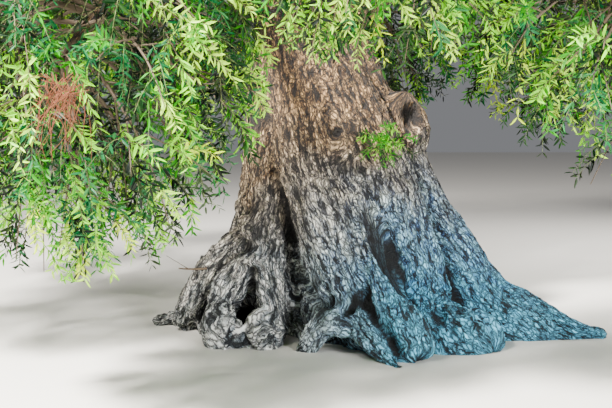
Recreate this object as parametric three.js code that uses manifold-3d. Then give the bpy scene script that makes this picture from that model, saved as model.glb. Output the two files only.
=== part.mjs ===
// A very old olive tree: a squat trunk of fused strands that run out into surface roots, the
// boughs that leave its fork, and the masses of foliage that hang from them.
// Millimetres, +Z up, +X to the right, -Y to the front. The origin lies in the flat cut under
// the trunk, at ground level.

import * as THREE from "three";
import { mergeVertices } from "three/addons/utils/BufferGeometryUtils.js";
import Module from "manifold-3d";

const wasm = await Module();
wasm.setup();

const CLEARANCE = 0.3; // between a solid and the one that carries it

// Heights at which the strands of the trunk are placed.
const NECK_HEIGHT = 2230;
const WAIST_HEIGHT = 1200;
const HIP_HEIGHT = 600;
const ROOT_HEIGHT = 150;
const TIP_HEIGHT = 0;

// The trunk's line: it stands a little right of the origin and leans left as it rises.
const FOOT_OFFSET = 60;
const LEAN = 300;
const LEAN_POWER = 1.5;
const TWIST_DEG = -24; // turn of the strands from waist to neck

// Distance of the strands from the trunk's line, and their thickness, at neck, waist and hip.
const NECK_SPREAD = 200;
const NECK_RADIUS = 215;
const WAIST_SPREAD = 430;
const WAIST_RADIUS = 290;
const HIP_FLARE = 0.17; // share of a root's reach beyond the waist that shows at the hip
const HIP_RADIUS = 300;
const ROOT_SHARE = 0.6; // where along its reach a root is at ROOT_HEIGHT
const CORE_RADII = [480, 265]; // of the wood inside the strands, at the ground and at the top
const CORE_SIDES = 8;
const CORE_STEPS = 4;
const STRAND_SIDES = 9;
const STRAND_STEPS = 9;
const FINGER_SIDES = 7;
const FINGER_STEPS = 4;
const LUMP_DETAIL = 1;
const GROUND = [8000, 8000, 2000]; // the block of ground that the trunk is cut off by

// The strands: where each stands at the waist, where its root points and how far it runs,
// how thick the root is halfway and at its end, and the strand's share of the common girth.
const STRANDS = [
  { waist: -106, foot: -66, reach: 920, root: 270, tip: 100, girth: 0.98 },
  { waist: -52, foot: -38, reach: 1140, root: 280, tip: 100, girth: 1.02 },
  { waist: -12, foot: -8, reach: 1880, root: 225, tip: 70, girth: 0.98 },
  { waist: 30, foot: 27, reach: 1350, root: 220, tip: 90, girth: 0.96 },
  { waist: 74, foot: 78, reach: 1180, root: 240, tip: 110, girth: 1.02 },
  { waist: 118, foot: 126, reach: 1220, root: 215, tip: 90, girth: 1.0 },
  { waist: 160, foot: 170, reach: 1500, root: 185, tip: 60, girth: 0.98 },
  { waist: 201, foot: 186, reach: 1120, root: 180, tip: 80, girth: 0.92 },
];

// Single limbs of wood on the trunk's face, each from one place to another by way of a third.
const FINGERS = [
  { from: [-430, -150, 900], by: [-900, -80, 440], to: [-1190, 60, 10], ends: [230, 115] },
  { from: [-420, -200, 800], by: [-740, -300, 420], to: [-960, -220, 20], ends: [180, 90] },
  { from: [-400, -150, 860], by: [-500, -370, 480], to: [-370, -430, 60], ends: [170, 95] },
  { from: [120, -560, 340], by: [-130, -690, 200], to: [-290, -660, -60], ends: [120, 55] },
  { from: [60, -600, 340], by: [160, -880, 170], to: [360, -1140, -60], ends: [130, 45] },
  { from: [220, -120, 1300], by: [330, -160, 1480], to: [410, -170, 1640], ends: [260, 140] },
  { from: [20, -460, 1150], by: [240, -680, 580], to: [460, -980, 20], ends: [200, 130] },
  { from: [500, 120, 820], by: [790, 200, 650], to: [1000, 250, 380], ends: [170, 130] },
];

// Burls and scars: their place and half-sizes.
const BURLS = [
  { at: [-830, -500, 100], size: [170, 180, 210] },
  { at: [-540, -520, 80], size: [165, 160, 180] },
  { at: [790, -560, 50], size: [320, 240, 250] },
  { at: [45, -630, 1380], size: [125, 110, 140] },
  { at: [-20, -640, 420], size: [130, 100, 100] },
  { at: [0, -740, 230], size: [170, 150, 120] },
  { at: [400, -120, 1500], size: [245, 240, 300] },
  { at: [-560, -360, 700], size: [120, 100, 130] },
  { at: [-600, -400, 600], size: [160, 140, 80] },
  { at: [-620, -340, 820], size: [130, 120, 130] },
  { at: [-460, -420, 760], size: [100, 90, 130] },
  { at: [-560, -260, 1330], size: [125, 120, 150] },
  { at: [-240, 0, 2170], size: [400, 390, 250] },
];

// Hollows: between the front leg and the finger left of it, under the left-hand roots, in
// the broken shoulder, and under the arched root.
const HOLLOWS = [
  { at: [-330, -520, 330], size: [75, 330, 230] },
  { at: [-700, -330, 130], size: [150, 260, 150] },
  { at: [510, -360, 1620], size: [100, 140, 130] },
  { at: [-30, -860, 40], size: [100, 200, 100] },
];

// Clefts on both sides of the front leg, each thickest halfway.
const CLEFTS = [
  { from: [110, -680, 1050], by: [350, -780, 640], to: [630, -960, 140], ends: [10, 10], deep: 115 },
  { from: [-500, -380, 1260], by: [-370, -480, 920], to: [-300, -480, 520], ends: [10, 30], deep: 60 },
];

// Foliage: each mass fills its own part of an ellipsoid round "at".
const MASSES = {
  front: { at: [160, -2600, 2800], size: [1050, 950, 1050] },
  front_left: { at: [-1380, -2350, 1980], size: [1000, 1000, 1250] },
  left_front: { at: [-2750, -1250, 2480], size: [1200, 1150, 1350] },
  left_back: { at: [-2850, 1150, 2600], size: [1200, 1200, 1300] },
  back_left: { at: [-1450, 2700, 2750], size: [1200, 1150, 1200] },
  back: { at: [500, 3000, 2800], size: [1150, 1100, 1200] },
  back_right: { at: [2150, 2250, 2650], size: [1200, 1150, 1250] },
  right_back: { at: [3050, 500, 2500], size: [1150, 1200, 1300] },
  right_front: { at: [2750, -1250, 2380], size: [1150, 1100, 1250] },
  front_right: { at: [1420, -2350, 2330], size: [1050, 1050, 1150] },
  upper_left: { at: [-1750, -1050, 4150], size: [1250, 1200, 1150] },
  upper_front: { at: [350, -1700, 4250], size: [1200, 1150, 1100] },
  upper_right: { at: [1950, 100, 4150], size: [1200, 1200, 1150] },
  upper_back: { at: [700, 1850, 4300], size: [1250, 1150, 1150] },
  upper_rear: { at: [-1450, 1250, 4350], size: [1200, 1200, 1150] },
  top_left: { at: [-550, -50, 5330], size: [1200, 1150, 950] },
  top_right: { at: [700, 150, 5150], size: [1050, 1100, 950] },
};
const ENTRY_IN = 0.62; // how far out from its middle a mass is entered, as a share of its size
const ENTRY_UP = 0.42;
const HANGING_BELOW = 3500; // masses whose middle is lower than this are entered from above

// Boughs: the mass each one carries, the bough or trunk it leaves, how far along that, its
// thickness at both ends, and the way it sets off.
const FORK = [-215, 0, 2080];
const FORK_SPREAD = 110;
const BOUGHS = [
  { carries: "left_front", leaves: "trunk", heading: 208, radii: [190, 62] },
  { carries: "right_front", leaves: "trunk", heading: -28, radii: [185, 60] },
  { carries: "right_back", leaves: "trunk", heading: 32, radii: [165, 58] },
  { carries: "back_left", leaves: "trunk", heading: 118, radii: [185, 60] },
  { carries: "top_left", leaves: "trunk", heading: null, radii: [165, 55] },
  { carries: "front_left", leaves: "left_front", along: 0.42, radii: [95, 50] },
  { carries: "upper_left", leaves: "left_front", along: 0.3, radii: [105, 52] },
  { carries: "front", leaves: "right_front", along: 0.3, radii: [85, 45] },
  { carries: "front_right", leaves: "right_front", along: 0.5, radii: [90, 48] },
  { carries: "back_right", leaves: "right_back", along: 0.45, radii: [95, 50] },
  { carries: "upper_right", leaves: "right_back", along: 0.28, radii: [100, 50] },
  { carries: "left_back", leaves: "back_left", along: 0.38, radii: [95, 50] },
  { carries: "back", leaves: "back_left", along: 0.55, radii: [85, 48] },
  { carries: "upper_rear", leaves: "back_left", along: 0.28, radii: [95, 48] },
  { carries: "upper_front", leaves: "top_left", along: 0.22, radii: [90, 48] },
  { carries: "upper_back", leaves: "top_left", along: 0.34, radii: [90, 48] },
  { carries: "top_right", leaves: "top_left", along: 0.5, radii: [85, 45] },
];
const TRUNK_BOUGH_SLOPE = 0.95; // rise for each unit outwards where a bough leaves the trunk
const BOUGH_ARCH = 0.42; // how far the first handle of a bough's curve reaches, as a share of it
const ARRIVAL_SHARE = 0.7; // the last handle, as a share of the first
const AIM_WEIGHT = 1.3; // how much a side bough heads for its mass rather than on along its parent
const AIM_LIFT = 0.25;
const TOP_SLANT = 0.05; // how far the topmost bough leans for each unit that it rises
const BOUGH_TAPER = 0.75;
const COLLAR = 22; // how much thicker a side bough is where it leaves its parent
const COLLAR_FADE = 14;
const MAIN_BOUGH = { sides: 8, steps: 7 };
const SIDE_BOUGH = { sides: 6, steps: 5 };
const WOOD_SAMPLES = 24; // places along a bough that leaves are kept clear of

// The short leafy shoot on the trunk's own bark.
const SHOOT = {
  from: [230, -330, 1370],
  to: [270, -790, 1430],
  size: [200, 120, 170],
  radii: [26, 14],
  front: -660,
  scale: 0.36,
  twigs: 4,
  turn: 3,
};

// Foliage as solids: twigs on a stem, and blades on the twigs that each stand for a spray.
const STEM_LENGTH = 1.285; // as a share of the way from the entry to the middle
const STEM_TIP = 22;
const STEM_SIDES = 5;
const STEM_STEPS = 1;
const STEM_BARE = 0.3; // share of a stem that bears no twigs
const TWIGS = 7;
const TWIG_RADII = [30, 16];
const TWIG_REACH = 0.82; // of the longest twigs, as a share of the mass's size
const TWIG_EVENNESS = 0.82; // of the shortest, as a share of the longest
const GOLDEN_ANGLE = 2.39996;
const TWIG_SHARES = [1, 0.75, 0.5]; // tried in turn until the twig fits
const TWIG_ARCH = 150;
const TWIG_SIDES = 3;
const TWIG_STEPS = 2;
const TWIG_CHECKS = [0.35, 0.6, 0.8, 1]; // where along a twig its room is looked at
const BLADE = { length: 800, width: 300, keel: 40 };
const BLADE_SHARES = [1, 0.8, 0.6]; // tried in turn until the blade fits
const BLADE_STATIONS = [0.42, 0.6, 0.8, 0.98];
const BLADE_SWINGS = [50, -50, 45, -6]; // degrees away from the twig
const BLADE_TURN = 0.9; // radians round the twig from one blade to the next
const SPACE_MARGIN = 0.03; // share of a mass's size kept free along its neighbours
const LIMB_MARGIN = 35;

const rad = THREE.MathUtils.degToRad;
const vec = ([x, y, z]) => new THREE.Vector3(x, y, z);
const lerp = THREE.MathUtils.lerp;

// A repeatable number between 0 and 1 for each pair of whole numbers.
function chance(seed, index) {
  const wave = Math.sin(seed * 12.9898 + index * 78.233) * 43758.5453;
  return wave - Math.floor(wave);
}

// A closed geometry as a solid.
function solidOf(geometry) {
  const bare = geometry.clone();
  bare.deleteAttribute("normal");
  bare.deleteAttribute("uv");
  const merged = mergeVertices(bare, 1e-3);
  return new wasm.Manifold(
    new wasm.Mesh({
      numProp: 3,
      vertProperties: new Float32Array(merged.attributes.position.array),
      triVerts: new Uint32Array(merged.index.array),
    }),
  );
}

// A solid back as a geometry.
function geometryOf(solid) {
  const mesh = solid.getMesh();
  const positions = new Float32Array(mesh.numVert * 3);
  for (let i = 0; i < mesh.numVert; i++) {
    const start = i * mesh.numProp;
    positions.set(mesh.vertProperties.subarray(start, start + 3), i * 3);
  }
  const geometry = new THREE.BufferGeometry();
  geometry.setAttribute("position", new THREE.BufferAttribute(positions, 3));
  geometry.setIndex(new THREE.BufferAttribute(mesh.triVerts, 1));
  return geometry.toNonIndexed();
}

// The largest body of a solid: a loose scrap is dropped and a sealed hollow is filled.
function largestBody(solid) {
  return solid.decompose().reduce((a, b) => (b.volume() > a.volume() ? b : a));
}

// A round limb along a curve, with a flat face at each end, grown all round by "grow".
function limb(curve, radiusAt, sides, steps, grow = 0) {
  const frames = curve.computeFrenetFrames(steps, false);
  const positions = [];
  const index = [];
  for (let i = 0; i <= steps; i++) {
    const centre = curve.getPointAt(i / steps);
    if (i === 0) centre.addScaledVector(frames.tangents[i], -grow);
    if (i === steps) centre.addScaledVector(frames.tangents[i], grow);
    const radius = radiusAt(i / steps) + grow;
    for (let k = 0; k < sides; k++) {
      const turn = (2 * Math.PI * k) / sides;
      const point = centre
        .clone()
        .addScaledVector(frames.normals[i], radius * Math.cos(turn))
        .addScaledVector(frames.binormals[i], radius * Math.sin(turn));
      positions.push(...point.toArray());
    }
  }
  for (let i = 0; i < steps; i++) {
    for (let k = 0; k < sides; k++) {
      const a = i * sides + k;
      const b = i * sides + ((k + 1) % sides);
      index.push(a, b, b + sides, a, b + sides, a + sides);
    }
  }
  const last = steps * sides;
  for (let k = 1; k < sides - 1; k++) {
    index.push(0, k + 1, k, last, last + k, last + k + 1);
  }
  const geometry = new THREE.BufferGeometry();
  geometry.setAttribute("position", new THREE.Float32BufferAttribute(positions, 3));
  geometry.setIndex(index);
  return solidOf(geometry);
}

// A lump of wood: an ellipsoid with few faces.
function lump({ at, size }, grow) {
  const geometry = new THREE.IcosahedronGeometry(1, LUMP_DETAIL);
  geometry.scale(...size.map((s) => s + grow));
  geometry.translate(...at);
  return solidOf(geometry);
}

// The trunk

function trunkLine(height) {
  const rise = Math.max(height, 0) / NECK_HEIGHT;
  return new THREE.Vector3(FOOT_OFFSET - LEAN * rise ** LEAN_POWER, 0, height);
}

function aroundTrunk(height, angle, spread) {
  const out = new THREE.Vector3(Math.cos(rad(angle)), Math.sin(rad(angle)), 0);
  return trunkLine(height).addScaledVector(out, spread);
}

// One strand from the neck of the trunk down to the tip of its root.
function strand({ waist, foot, reach, root, tip, girth }, grow) {
  const hipSpread = lerp(WAIST_SPREAD, reach, HIP_FLARE);
  const curve = new THREE.CatmullRomCurve3([
    aroundTrunk(NECK_HEIGHT, waist + TWIST_DEG, NECK_SPREAD),
    aroundTrunk(WAIST_HEIGHT, waist, WAIST_SPREAD),
    aroundTrunk(HIP_HEIGHT, lerp(waist, foot, 0.5), hipSpread),
    aroundTrunk(ROOT_HEIGHT, lerp(waist, foot, 0.9), reach * ROOT_SHARE),
    aroundTrunk(TIP_HEIGHT, foot, reach),
  ]);
  const lengths = curve.getLengths(80);
  const share = (point) => lengths[point * 20] / lengths[80];
  const stations = [0, 1, 2, 3, 4].map(share);
  const radii = [NECK_RADIUS * girth, WAIST_RADIUS * girth, HIP_RADIUS * girth, root, tip];
  const radiusAt = (t) => along(stations, radii, t);
  return limb(curve, radiusAt, STRAND_SIDES, STRAND_STEPS, grow);
}

// The value at t of a smooth run through values placed at stations.
function along(stations, values, t) {
  let i = 0;
  while (i < stations.length - 2 && t > stations[i + 1]) i++;
  const share = (t - stations[i]) / (stations[i + 1] - stations[i]);
  return lerp(values[i], values[i + 1], THREE.MathUtils.smoothstep(share, 0, 1));
}

function finger({ from, by, to, ends, deep = 0 }, grow) {
  const curve = new THREE.CatmullRomCurve3([vec(from), vec(by), vec(to)]);
  const radiusAt = (t) => lerp(ends[0], ends[1], t) + deep * Math.sin(Math.PI * t);
  return limb(curve, radiusAt, FINGER_SIDES, FINGER_STEPS, grow);
}

function core(grow) {
  const heights = [-80, HIP_HEIGHT, WAIST_HEIGHT, NECK_HEIGHT + 60];
  const curve = new THREE.CatmullRomCurve3(heights.map(trunkLine));
  return limb(curve, (t) => lerp(...CORE_RADII, t), CORE_SIDES, CORE_STEPS, grow);
}

// The whole trunk, grown all round by "grow" where its neighbours are cut clear of it.
function trunk(grow) {
  const wood = [
    core(grow),
    ...STRANDS.map((s) => strand(s, grow)),
    ...FINGERS.map((f) => finger(f, grow)),
    ...BURLS.map((b) => lump(b, grow)),
  ].reduce((a, b) => a.add(b));
  const cutters = [
    ...HOLLOWS.map((h) => lump(h, -grow)),
    ...CLEFTS.map((c) => finger(c, -grow)),
  ];
  const carved = cutters.reduce((solid, cutter) => solid.subtract(cutter), wood);
  const ground = new THREE.BoxGeometry(...GROUND);
  ground.translate(0, 0, -GROUND[2] / 2);
  return largestBody(carved.subtract(solidOf(ground)));
}

// The boughs

function boughCurve(from, heading, entry, arrival) {
  const reach = from.distanceTo(entry) * BOUGH_ARCH;
  return new THREE.CubicBezierCurve3(
    from,
    from.clone().addScaledVector(heading, reach),
    entry.clone().addScaledVector(arrival, -reach * ARRIVAL_SHARE),
    entry,
  );
}

// Where a bough meets its mass: on the inner, upper side for the hanging masses.
function entryOf({ at, size }) {
  const middle = vec(at);
  const out = new THREE.Vector3(at[0] - FORK[0], at[1], 0).normalize();
  const hangs = at[2] < HANGING_BELOW;
  const up = hangs ? ENTRY_UP : -ENTRY_IN;
  const inward = hangs ? ENTRY_IN : ENTRY_UP;
  return middle
    .addScaledVector(out, -inward * size[0])
    .add(new THREE.Vector3(0, 0, up * size[2]));
}

const boughs = new Map();

function plan({ carries, leaves, along: station, heading, radii }) {
  const entry = entryOf(MASSES[carries]);
  const middle = vec(MASSES[carries].at);
  const arrival = middle.clone().sub(entry).normalize();
  let from;
  let setOff;
  if (leaves === "trunk") {
    const level = heading !== null;
    const angle = rad(level ? heading : 0);
    setOff = new THREE.Vector3(
      level ? Math.cos(angle) : TOP_SLANT,
      level ? Math.sin(angle) : 0,
      level ? TRUNK_BOUGH_SLOPE : 1,
    ).normalize();
    from = vec(FORK).addScaledVector(setOff, level ? FORK_SPREAD : 0);
  } else {
    const parent = boughs.get(leaves).curve;
    from = parent.getPointAt(station);
    const onward = parent.getTangentAt(station);
    setOff = entry.clone().sub(from).normalize().multiplyScalar(AIM_WEIGHT).add(onward);
    setOff.z += AIM_LIFT;
    setOff.normalize();
  }
  const curve = boughCurve(from, setOff, entry, arrival);
  boughs.set(carries, { curve, leaves, radii, entry, arrival });
}

function boughRadius({ radii, leaves }) {
  const taper = (t) => lerp(radii[0], radii[1], t ** BOUGH_TAPER);
  const collar = leaves === "trunk" ? 0 : COLLAR;
  return (t) => taper(t) + collar * Math.exp(-t * COLLAR_FADE);
}

function boughSolid(name, grow) {
  const bough = boughs.get(name);
  const { sides, steps } = bough.leaves === "trunk" ? MAIN_BOUGH : SIDE_BOUGH;
  return limb(bough.curve, boughRadius(bough), sides, steps, grow);
}

// The foliage

// How far out a point lies in a mass: 0 in its middle and 1 on the edge of its ellipsoid.
function depthIn({ at, size }, point) {
  return Math.hypot(
    (point.x - at[0]) / size[0],
    (point.y - at[1]) / size[1],
    (point.z - at[2]) / size[2],
  );
}

// A point belongs to a mass if it is inside it and further inside it than in any other.
function belongs(name, point) {
  const own = depthIn(MASSES[name], point);
  const others = Object.keys(MASSES).filter((other) => other !== name);
  return own < 1 && others.every((o) => depthIn(MASSES[o], point) > own + SPACE_MARGIN);
}

// Points along every bough, with its thickness there, for keeping leaves clear of the wood.
function woodPoints() {
  const points = [];
  for (const bough of boughs.values()) {
    const radiusAt = boughRadius(bough);
    for (let i = 0; i <= WOOD_SAMPLES; i++) {
      const t = i / WOOD_SAMPLES;
      points.push({ at: bough.curve.getPointAt(t), radius: radiusAt(t) });
    }
  }
  return points;
}

function clearOf(wood, point, room) {
  return wood.every(({ at, radius }) => at.distanceTo(point) > radius + room);
}

// Directions spread evenly over a ball, turned and shaken by the mass's own seed.
function spreadDirection(k, count, seed) {
  const z = 1 - (2 * (k + 0.5)) / count;
  const turn = k * GOLDEN_ANGLE + seed * 1.7 + (chance(seed, k) - 0.5) * 0.7;
  const flat = Math.sqrt(1 - z * z);
  return new THREE.Vector3(flat * Math.cos(turn), flat * Math.sin(turn), z);
}

// A flat blade with a keel under it: its two ends, its two edges and its keel.
const bladeShape = new THREE.BufferGeometry();
const bladePoints = [-1, 0, 0, 1, 0, 0, -0.1, 1, 0, -0.1, -1, 0, -0.1, 0, -1];
bladeShape.setAttribute("position", new THREE.Float32BufferAttribute(bladePoints, 3));
bladeShape.setIndex([0, 3, 2, 1, 2, 3, 0, 2, 4, 0, 4, 3, 1, 4, 2, 1, 3, 4]);

// A blade that lies along "direction", its root sunk in the twig at "root".
function blade(root, direction, roll, scale) {
  const { length, width, keel } = BLADE;
  const middle = root.clone().addScaledVector(direction, (length * scale) / 2);
  const turn = new THREE.Quaternion().setFromUnitVectors(
    new THREE.Vector3(1, 0, 0),
    direction,
  );
  turn.multiply(
    new THREE.Quaternion().setFromAxisAngle(new THREE.Vector3(1, 0, 0), roll),
  );
  const size = new THREE.Vector3(length / 2, width / 2, keel).multiplyScalar(scale);
  const place = new THREE.Matrix4().compose(middle, turn, size);
  const geometry = bladeShape.clone().applyMatrix4(place);
  const reach = [-0.5, 0, 0.5, 1].map((share) => [share, 0, 0]);
  const points = [...reach, [0, 1, 0], [0, -1, 0]].map((p) => vec(p).applyMatrix4(place));
  return { geometry, points };
}

// The blades of a twig leave it by turns on both sides, and one goes on from its tip.
function sprays(twig, seed, k, scale, fits) {
  const blades = [];
  BLADE_STATIONS.forEach((station, n) => {
    const tangent = twig.getTangentAt(station);
    const across = new THREE.Vector3().crossVectors(tangent, new THREE.Vector3(0, 0, 1));
    across.normalize().applyAxisAngle(tangent, (n + chance(seed, k * 7 + n)) * BLADE_TURN);
    const swing = rad(BLADE_SWINGS[n]);
    const direction = tangent
      .multiplyScalar(Math.cos(swing))
      .addScaledVector(across, Math.sin(swing))
      .normalize();
    const roll = chance(seed, 90 + k * 9 + n) * Math.PI;
    const root = twig.getPointAt(station);
    const choices = BLADE_SHARES.map((share) => blade(root, direction, roll, scale * share));
    const chosen = choices.find(({ points }) => points.every((p) => fits(p, BLADE.keel)));
    if (chosen) blades.push(solidOf(chosen.geometry));
  });
  return blades;
}

// Twigs from a stem, with their blades, kept while "fits" holds for their points.
function foliage(stem, stemRadii, goalOf, fits, seed, twigs, scale) {
  let solid = limb(stem, (t) => lerp(...stemRadii, t), STEM_SIDES, STEM_STEPS);
  for (let k = 0; k < twigs; k++) {
    const base = stem.getPointAt(lerp(STEM_BARE, 1, (k + chance(seed, 40 + k)) / twigs));
    const goal = goalOf(k);
    const choices = TWIG_SHARES.map((share) => {
      const tip = base.clone().lerp(goal, share);
      const bend = base.clone().lerp(tip, 0.5);
      bend.z += TWIG_ARCH * scale * share;
      return new THREE.QuadraticBezierCurve3(base, bend, tip);
    });
    const twig = choices.find((curve) =>
      TWIG_CHECKS.every((t) => fits(curve.getPointAt(t), TWIG_RADII[0])),
    );
    if (!twig) continue;
    const thickness = (t) => lerp(...TWIG_RADII, t) * scale;
    solid = solid.add(limb(twig, thickness, TWIG_SIDES, TWIG_STEPS));
    for (const spray of sprays(twig, seed, k, scale, fits)) solid = solid.add(spray);
  }
  return largestBody(solid);
}

function mass(name, seed, wood) {
  const { at, size } = MASSES[name];
  const { entry, arrival, radii } = boughs.get(name);
  const start = entry.clone().addScaledVector(arrival, CLEARANCE);
  const middle = vec(at);
  const end = entry.clone().lerp(middle, STEM_LENGTH);
  const stem = new THREE.LineCurve3(start, end);
  const fits = (p, room) => belongs(name, p) && clearOf(wood, p, room + LIMB_MARGIN);
  const goalOf = (k) => {
    const direction = spreadDirection(k, TWIGS, seed);
    const out = TWIG_REACH * lerp(TWIG_EVENNESS, 1, chance(seed, 20 + k));
    return middle.clone().add(direction.multiply(vec(size)).multiplyScalar(out));
  };
  return foliage(stem, [radii[1], STEM_TIP], goalOf, fits, seed, TWIGS, 1);
}

// The shoot on the trunk is cut clear of the bark that it grows from.
function shoot(bark) {
  const { from, to, size, radii, front, scale, twigs, turn } = SHOOT;
  const stem = new THREE.LineCurve3(vec(from), vec(to));
  const fits = (p) => p.y < front;
  const goalOf = (k) => {
    const direction = spreadDirection(k, twigs, turn);
    direction.y = -Math.abs(direction.y);
    return vec(to).add(direction.multiply(vec(size)));
  };
  const solid = foliage(stem, radii, goalOf, fits, twigs, twigs, scale);
  return largestBody(solid.subtract(bark));
}

// The assembly

const tree = new THREE.Group();
tree.name = "olive_tree";

function material(hex, roughness) {
  return new THREE.MeshStandardMaterial({ color: hex, roughness, metalness: 0 });
}
const BARK = material(0x8b7a69, 0.95);
const BOUGH_BARK = material(0x7d7467, 0.9);
const LEAF = material(0x5f7f38, 0.6);

function add(name, solid, look) {
  const mesh = new THREE.Mesh(geometryOf(solid), look);
  mesh.name = name;
  tree.add(mesh);
}

const grownTrunk = trunk(CLEARANCE);
add("trunk", trunk(0), BARK);

BOUGHS.forEach(plan);
const placed = [];
for (const name of boughs.keys()) {
  const { leaves } = boughs.get(name);
  let solid = boughSolid(name, 0).subtract(grownTrunk);
  for (const other of placed) solid = solid.subtract(other);
  if (leaves !== "trunk") solid = solid.subtract(boughSolid(leaves, CLEARANCE));
  add("bough_" + name, largestBody(solid), BOUGH_BARK);
  placed.push(boughSolid(name, CLEARANCE));
}

const wood = woodPoints();
Object.keys(MASSES).forEach((name, i) => {
  add("foliage_" + name, mass(name, i + 1, wood), LEAF);
});
add("foliage_trunk_shoot", shoot(grownTrunk), LEAF);

export default tree;
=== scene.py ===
"""An old olive tree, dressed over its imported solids: bark with its relief, boughs, twigs
and leaves. Metres, +Z up, in the frame of the solids."""
import math

import bpy
import numpy as np
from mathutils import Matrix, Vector


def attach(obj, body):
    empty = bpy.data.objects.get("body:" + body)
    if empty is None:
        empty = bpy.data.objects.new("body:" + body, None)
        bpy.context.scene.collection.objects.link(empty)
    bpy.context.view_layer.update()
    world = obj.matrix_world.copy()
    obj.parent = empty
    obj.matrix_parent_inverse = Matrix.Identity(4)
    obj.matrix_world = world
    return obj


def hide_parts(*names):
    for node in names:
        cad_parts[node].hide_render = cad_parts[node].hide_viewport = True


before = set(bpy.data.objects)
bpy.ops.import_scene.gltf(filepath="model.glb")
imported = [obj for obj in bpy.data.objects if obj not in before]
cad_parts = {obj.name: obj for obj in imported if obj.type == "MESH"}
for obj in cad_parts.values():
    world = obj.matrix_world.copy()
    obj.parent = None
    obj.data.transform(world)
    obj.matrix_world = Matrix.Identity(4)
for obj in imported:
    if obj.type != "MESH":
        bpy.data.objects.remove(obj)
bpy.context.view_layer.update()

# The trunk's driving sizes, the same as in the solids.
NECK_HEIGHT = 2.23
WAIST_HEIGHT = 1.2
HIP_HEIGHT = 0.6
ROOT_HEIGHT = 0.15
TIP_HEIGHT = 0.0
FOOT_OFFSET = 0.06
LEAN = 0.3
LEAN_POWER = 1.5
TWIST_DEG = -24
NECK_SPREAD = 0.2
NECK_RADIUS = 0.215
WAIST_SPREAD = 0.43
WAIST_RADIUS = 0.29
HIP_FLARE = 0.17
HIP_RADIUS = 0.3
ROOT_SHARE = 0.6
CORE_RADII = (0.4785, 0.264)  # of the wood inside the strands, at the ground and at the top

# Each strand: angle at the waist, angle of its root, reach, root radius, tip radius, girth.
STRANDS = [
    (-106, -66, 0.92, 0.27, 0.1, 0.98),
    (-52, -38, 1.14, 0.28, 0.1, 1.02),
    (-12, -8, 1.88, 0.225, 0.07, 0.98),
    (30, 27, 1.35, 0.22, 0.09, 0.96),
    (74, 78, 1.18, 0.24, 0.11, 1.02),
    (118, 126, 1.22, 0.215, 0.09, 1.0),
    (160, 170, 1.5, 0.185, 0.06, 0.98),
    (201, 186, 1.12, 0.18, 0.08, 0.92),
]

# Single limbs of wood on the trunk's face: three places and the thickness of both ends.
FINGERS = [
    ((-0.43, -0.15, 0.9), (-0.9, -0.08, 0.44), (-1.19, 0.06, 0.01), (0.23, 0.115)),
    ((-0.42, -0.2, 0.8), (-0.74, -0.3, 0.42), (-0.96, -0.22, 0.02), (0.18, 0.09)),
    ((-0.4, -0.15, 0.86), (-0.5, -0.37, 0.48), (-0.37, -0.43, 0.06), (0.17, 0.095)),
    ((0.12, -0.56, 0.34), (-0.13, -0.69, 0.2), (-0.29, -0.66, -0.06), (0.12, 0.055)),
    ((0.06, -0.6, 0.34), (0.16, -0.88, 0.17), (0.36, -1.14, -0.06), (0.13, 0.045)),
    ((0.22, -0.12, 1.3), (0.33, -0.16, 1.48), (0.41, -0.17, 1.64), (0.26, 0.14)),
    ((0.02, -0.46, 1.15), (0.24, -0.68, 0.58), (0.46, -0.98, 0.02), (0.2, 0.13)),
    ((0.5, 0.12, 0.82), (0.79, 0.2, 0.65), (1.0, 0.25, 0.38), (0.17, 0.13)),
]

# Burls and the boss: place and half-sizes.
BOSS = (0.045, -0.63, 1.38)
KNOT_LOBE = (0.79, -0.56, 0.05)
BURLS = [
    ((-0.83, -0.5, 0.1), (0.17, 0.18, 0.21)),
    ((-0.54, -0.52, 0.08), (0.165, 0.16, 0.18)),
    (KNOT_LOBE, (0.32, 0.24, 0.25)),
    (BOSS, (0.125, 0.11, 0.14)),
    ((-0.02, -0.64, 0.42), (0.13, 0.1, 0.1)),
    ((0.0, -0.74, 0.23), (0.17, 0.15, 0.12)),
    ((0.4, -0.12, 1.5), (0.245, 0.24, 0.3)),
    ((-0.56, -0.36, 0.7), (0.12, 0.1, 0.13)),
    ((-0.6, -0.4, 0.6), (0.16, 0.14, 0.08)),
    ((-0.62, -0.34, 0.82), (0.13, 0.12, 0.13)),
    ((-0.46, -0.42, 0.76), (0.1, 0.09, 0.13)),
    ((-0.56, -0.26, 1.33), (0.125, 0.12, 0.15)),
    ((-0.24, 0.0, 2.17), (0.4, 0.39, 0.25)),
]

# Knots: place, radius, how deep the groove round the knot is and how much painted shade darkens the middle.
KNOTS = [
    ((0.045, -0.7, 1.37), 0.13, 0.012, 0),
    ((0.06, -0.68, 1.5), 0.08, 0, 0.7),
    ((-0.27, -0.56, 1.44), 0.07, 0.01, 0.3),
    ((-0.6, -0.3, 1.56), 0.08, 0.01, 1),
    ((0.86, -0.72, 0.17), 0.12, 0.022, 0),
    ((-0.54, -0.64, 0.1), 0.1, 0.018, 0),
    ((-0.02, -0.74, 0.4), 0.1, 0.018, 0),
    ((0.5, -0.36, 1.62), 0.13, 0.014, 0.9),
    ((-0.48, -0.5, 0.85), 0.24, 0, 0.5),
    ((-0.5, -0.4, 1.3), 0.11, 0.01, 0.2),
]

# Hollows cut out of the trunk: place and half-sizes.
HOLLOWS = [
    ((-0.33, -0.52, 0.33), (0.075, 0.33, 0.23)),
    ((-0.7, -0.33, 0.13), (0.15, 0.26, 0.15)),
    ((0.51, -0.36, 1.62), (0.1, 0.14, 0.13)),
    ((-0.03, -0.86, 0.04), (0.1, 0.2, 0.1)),
]

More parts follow.
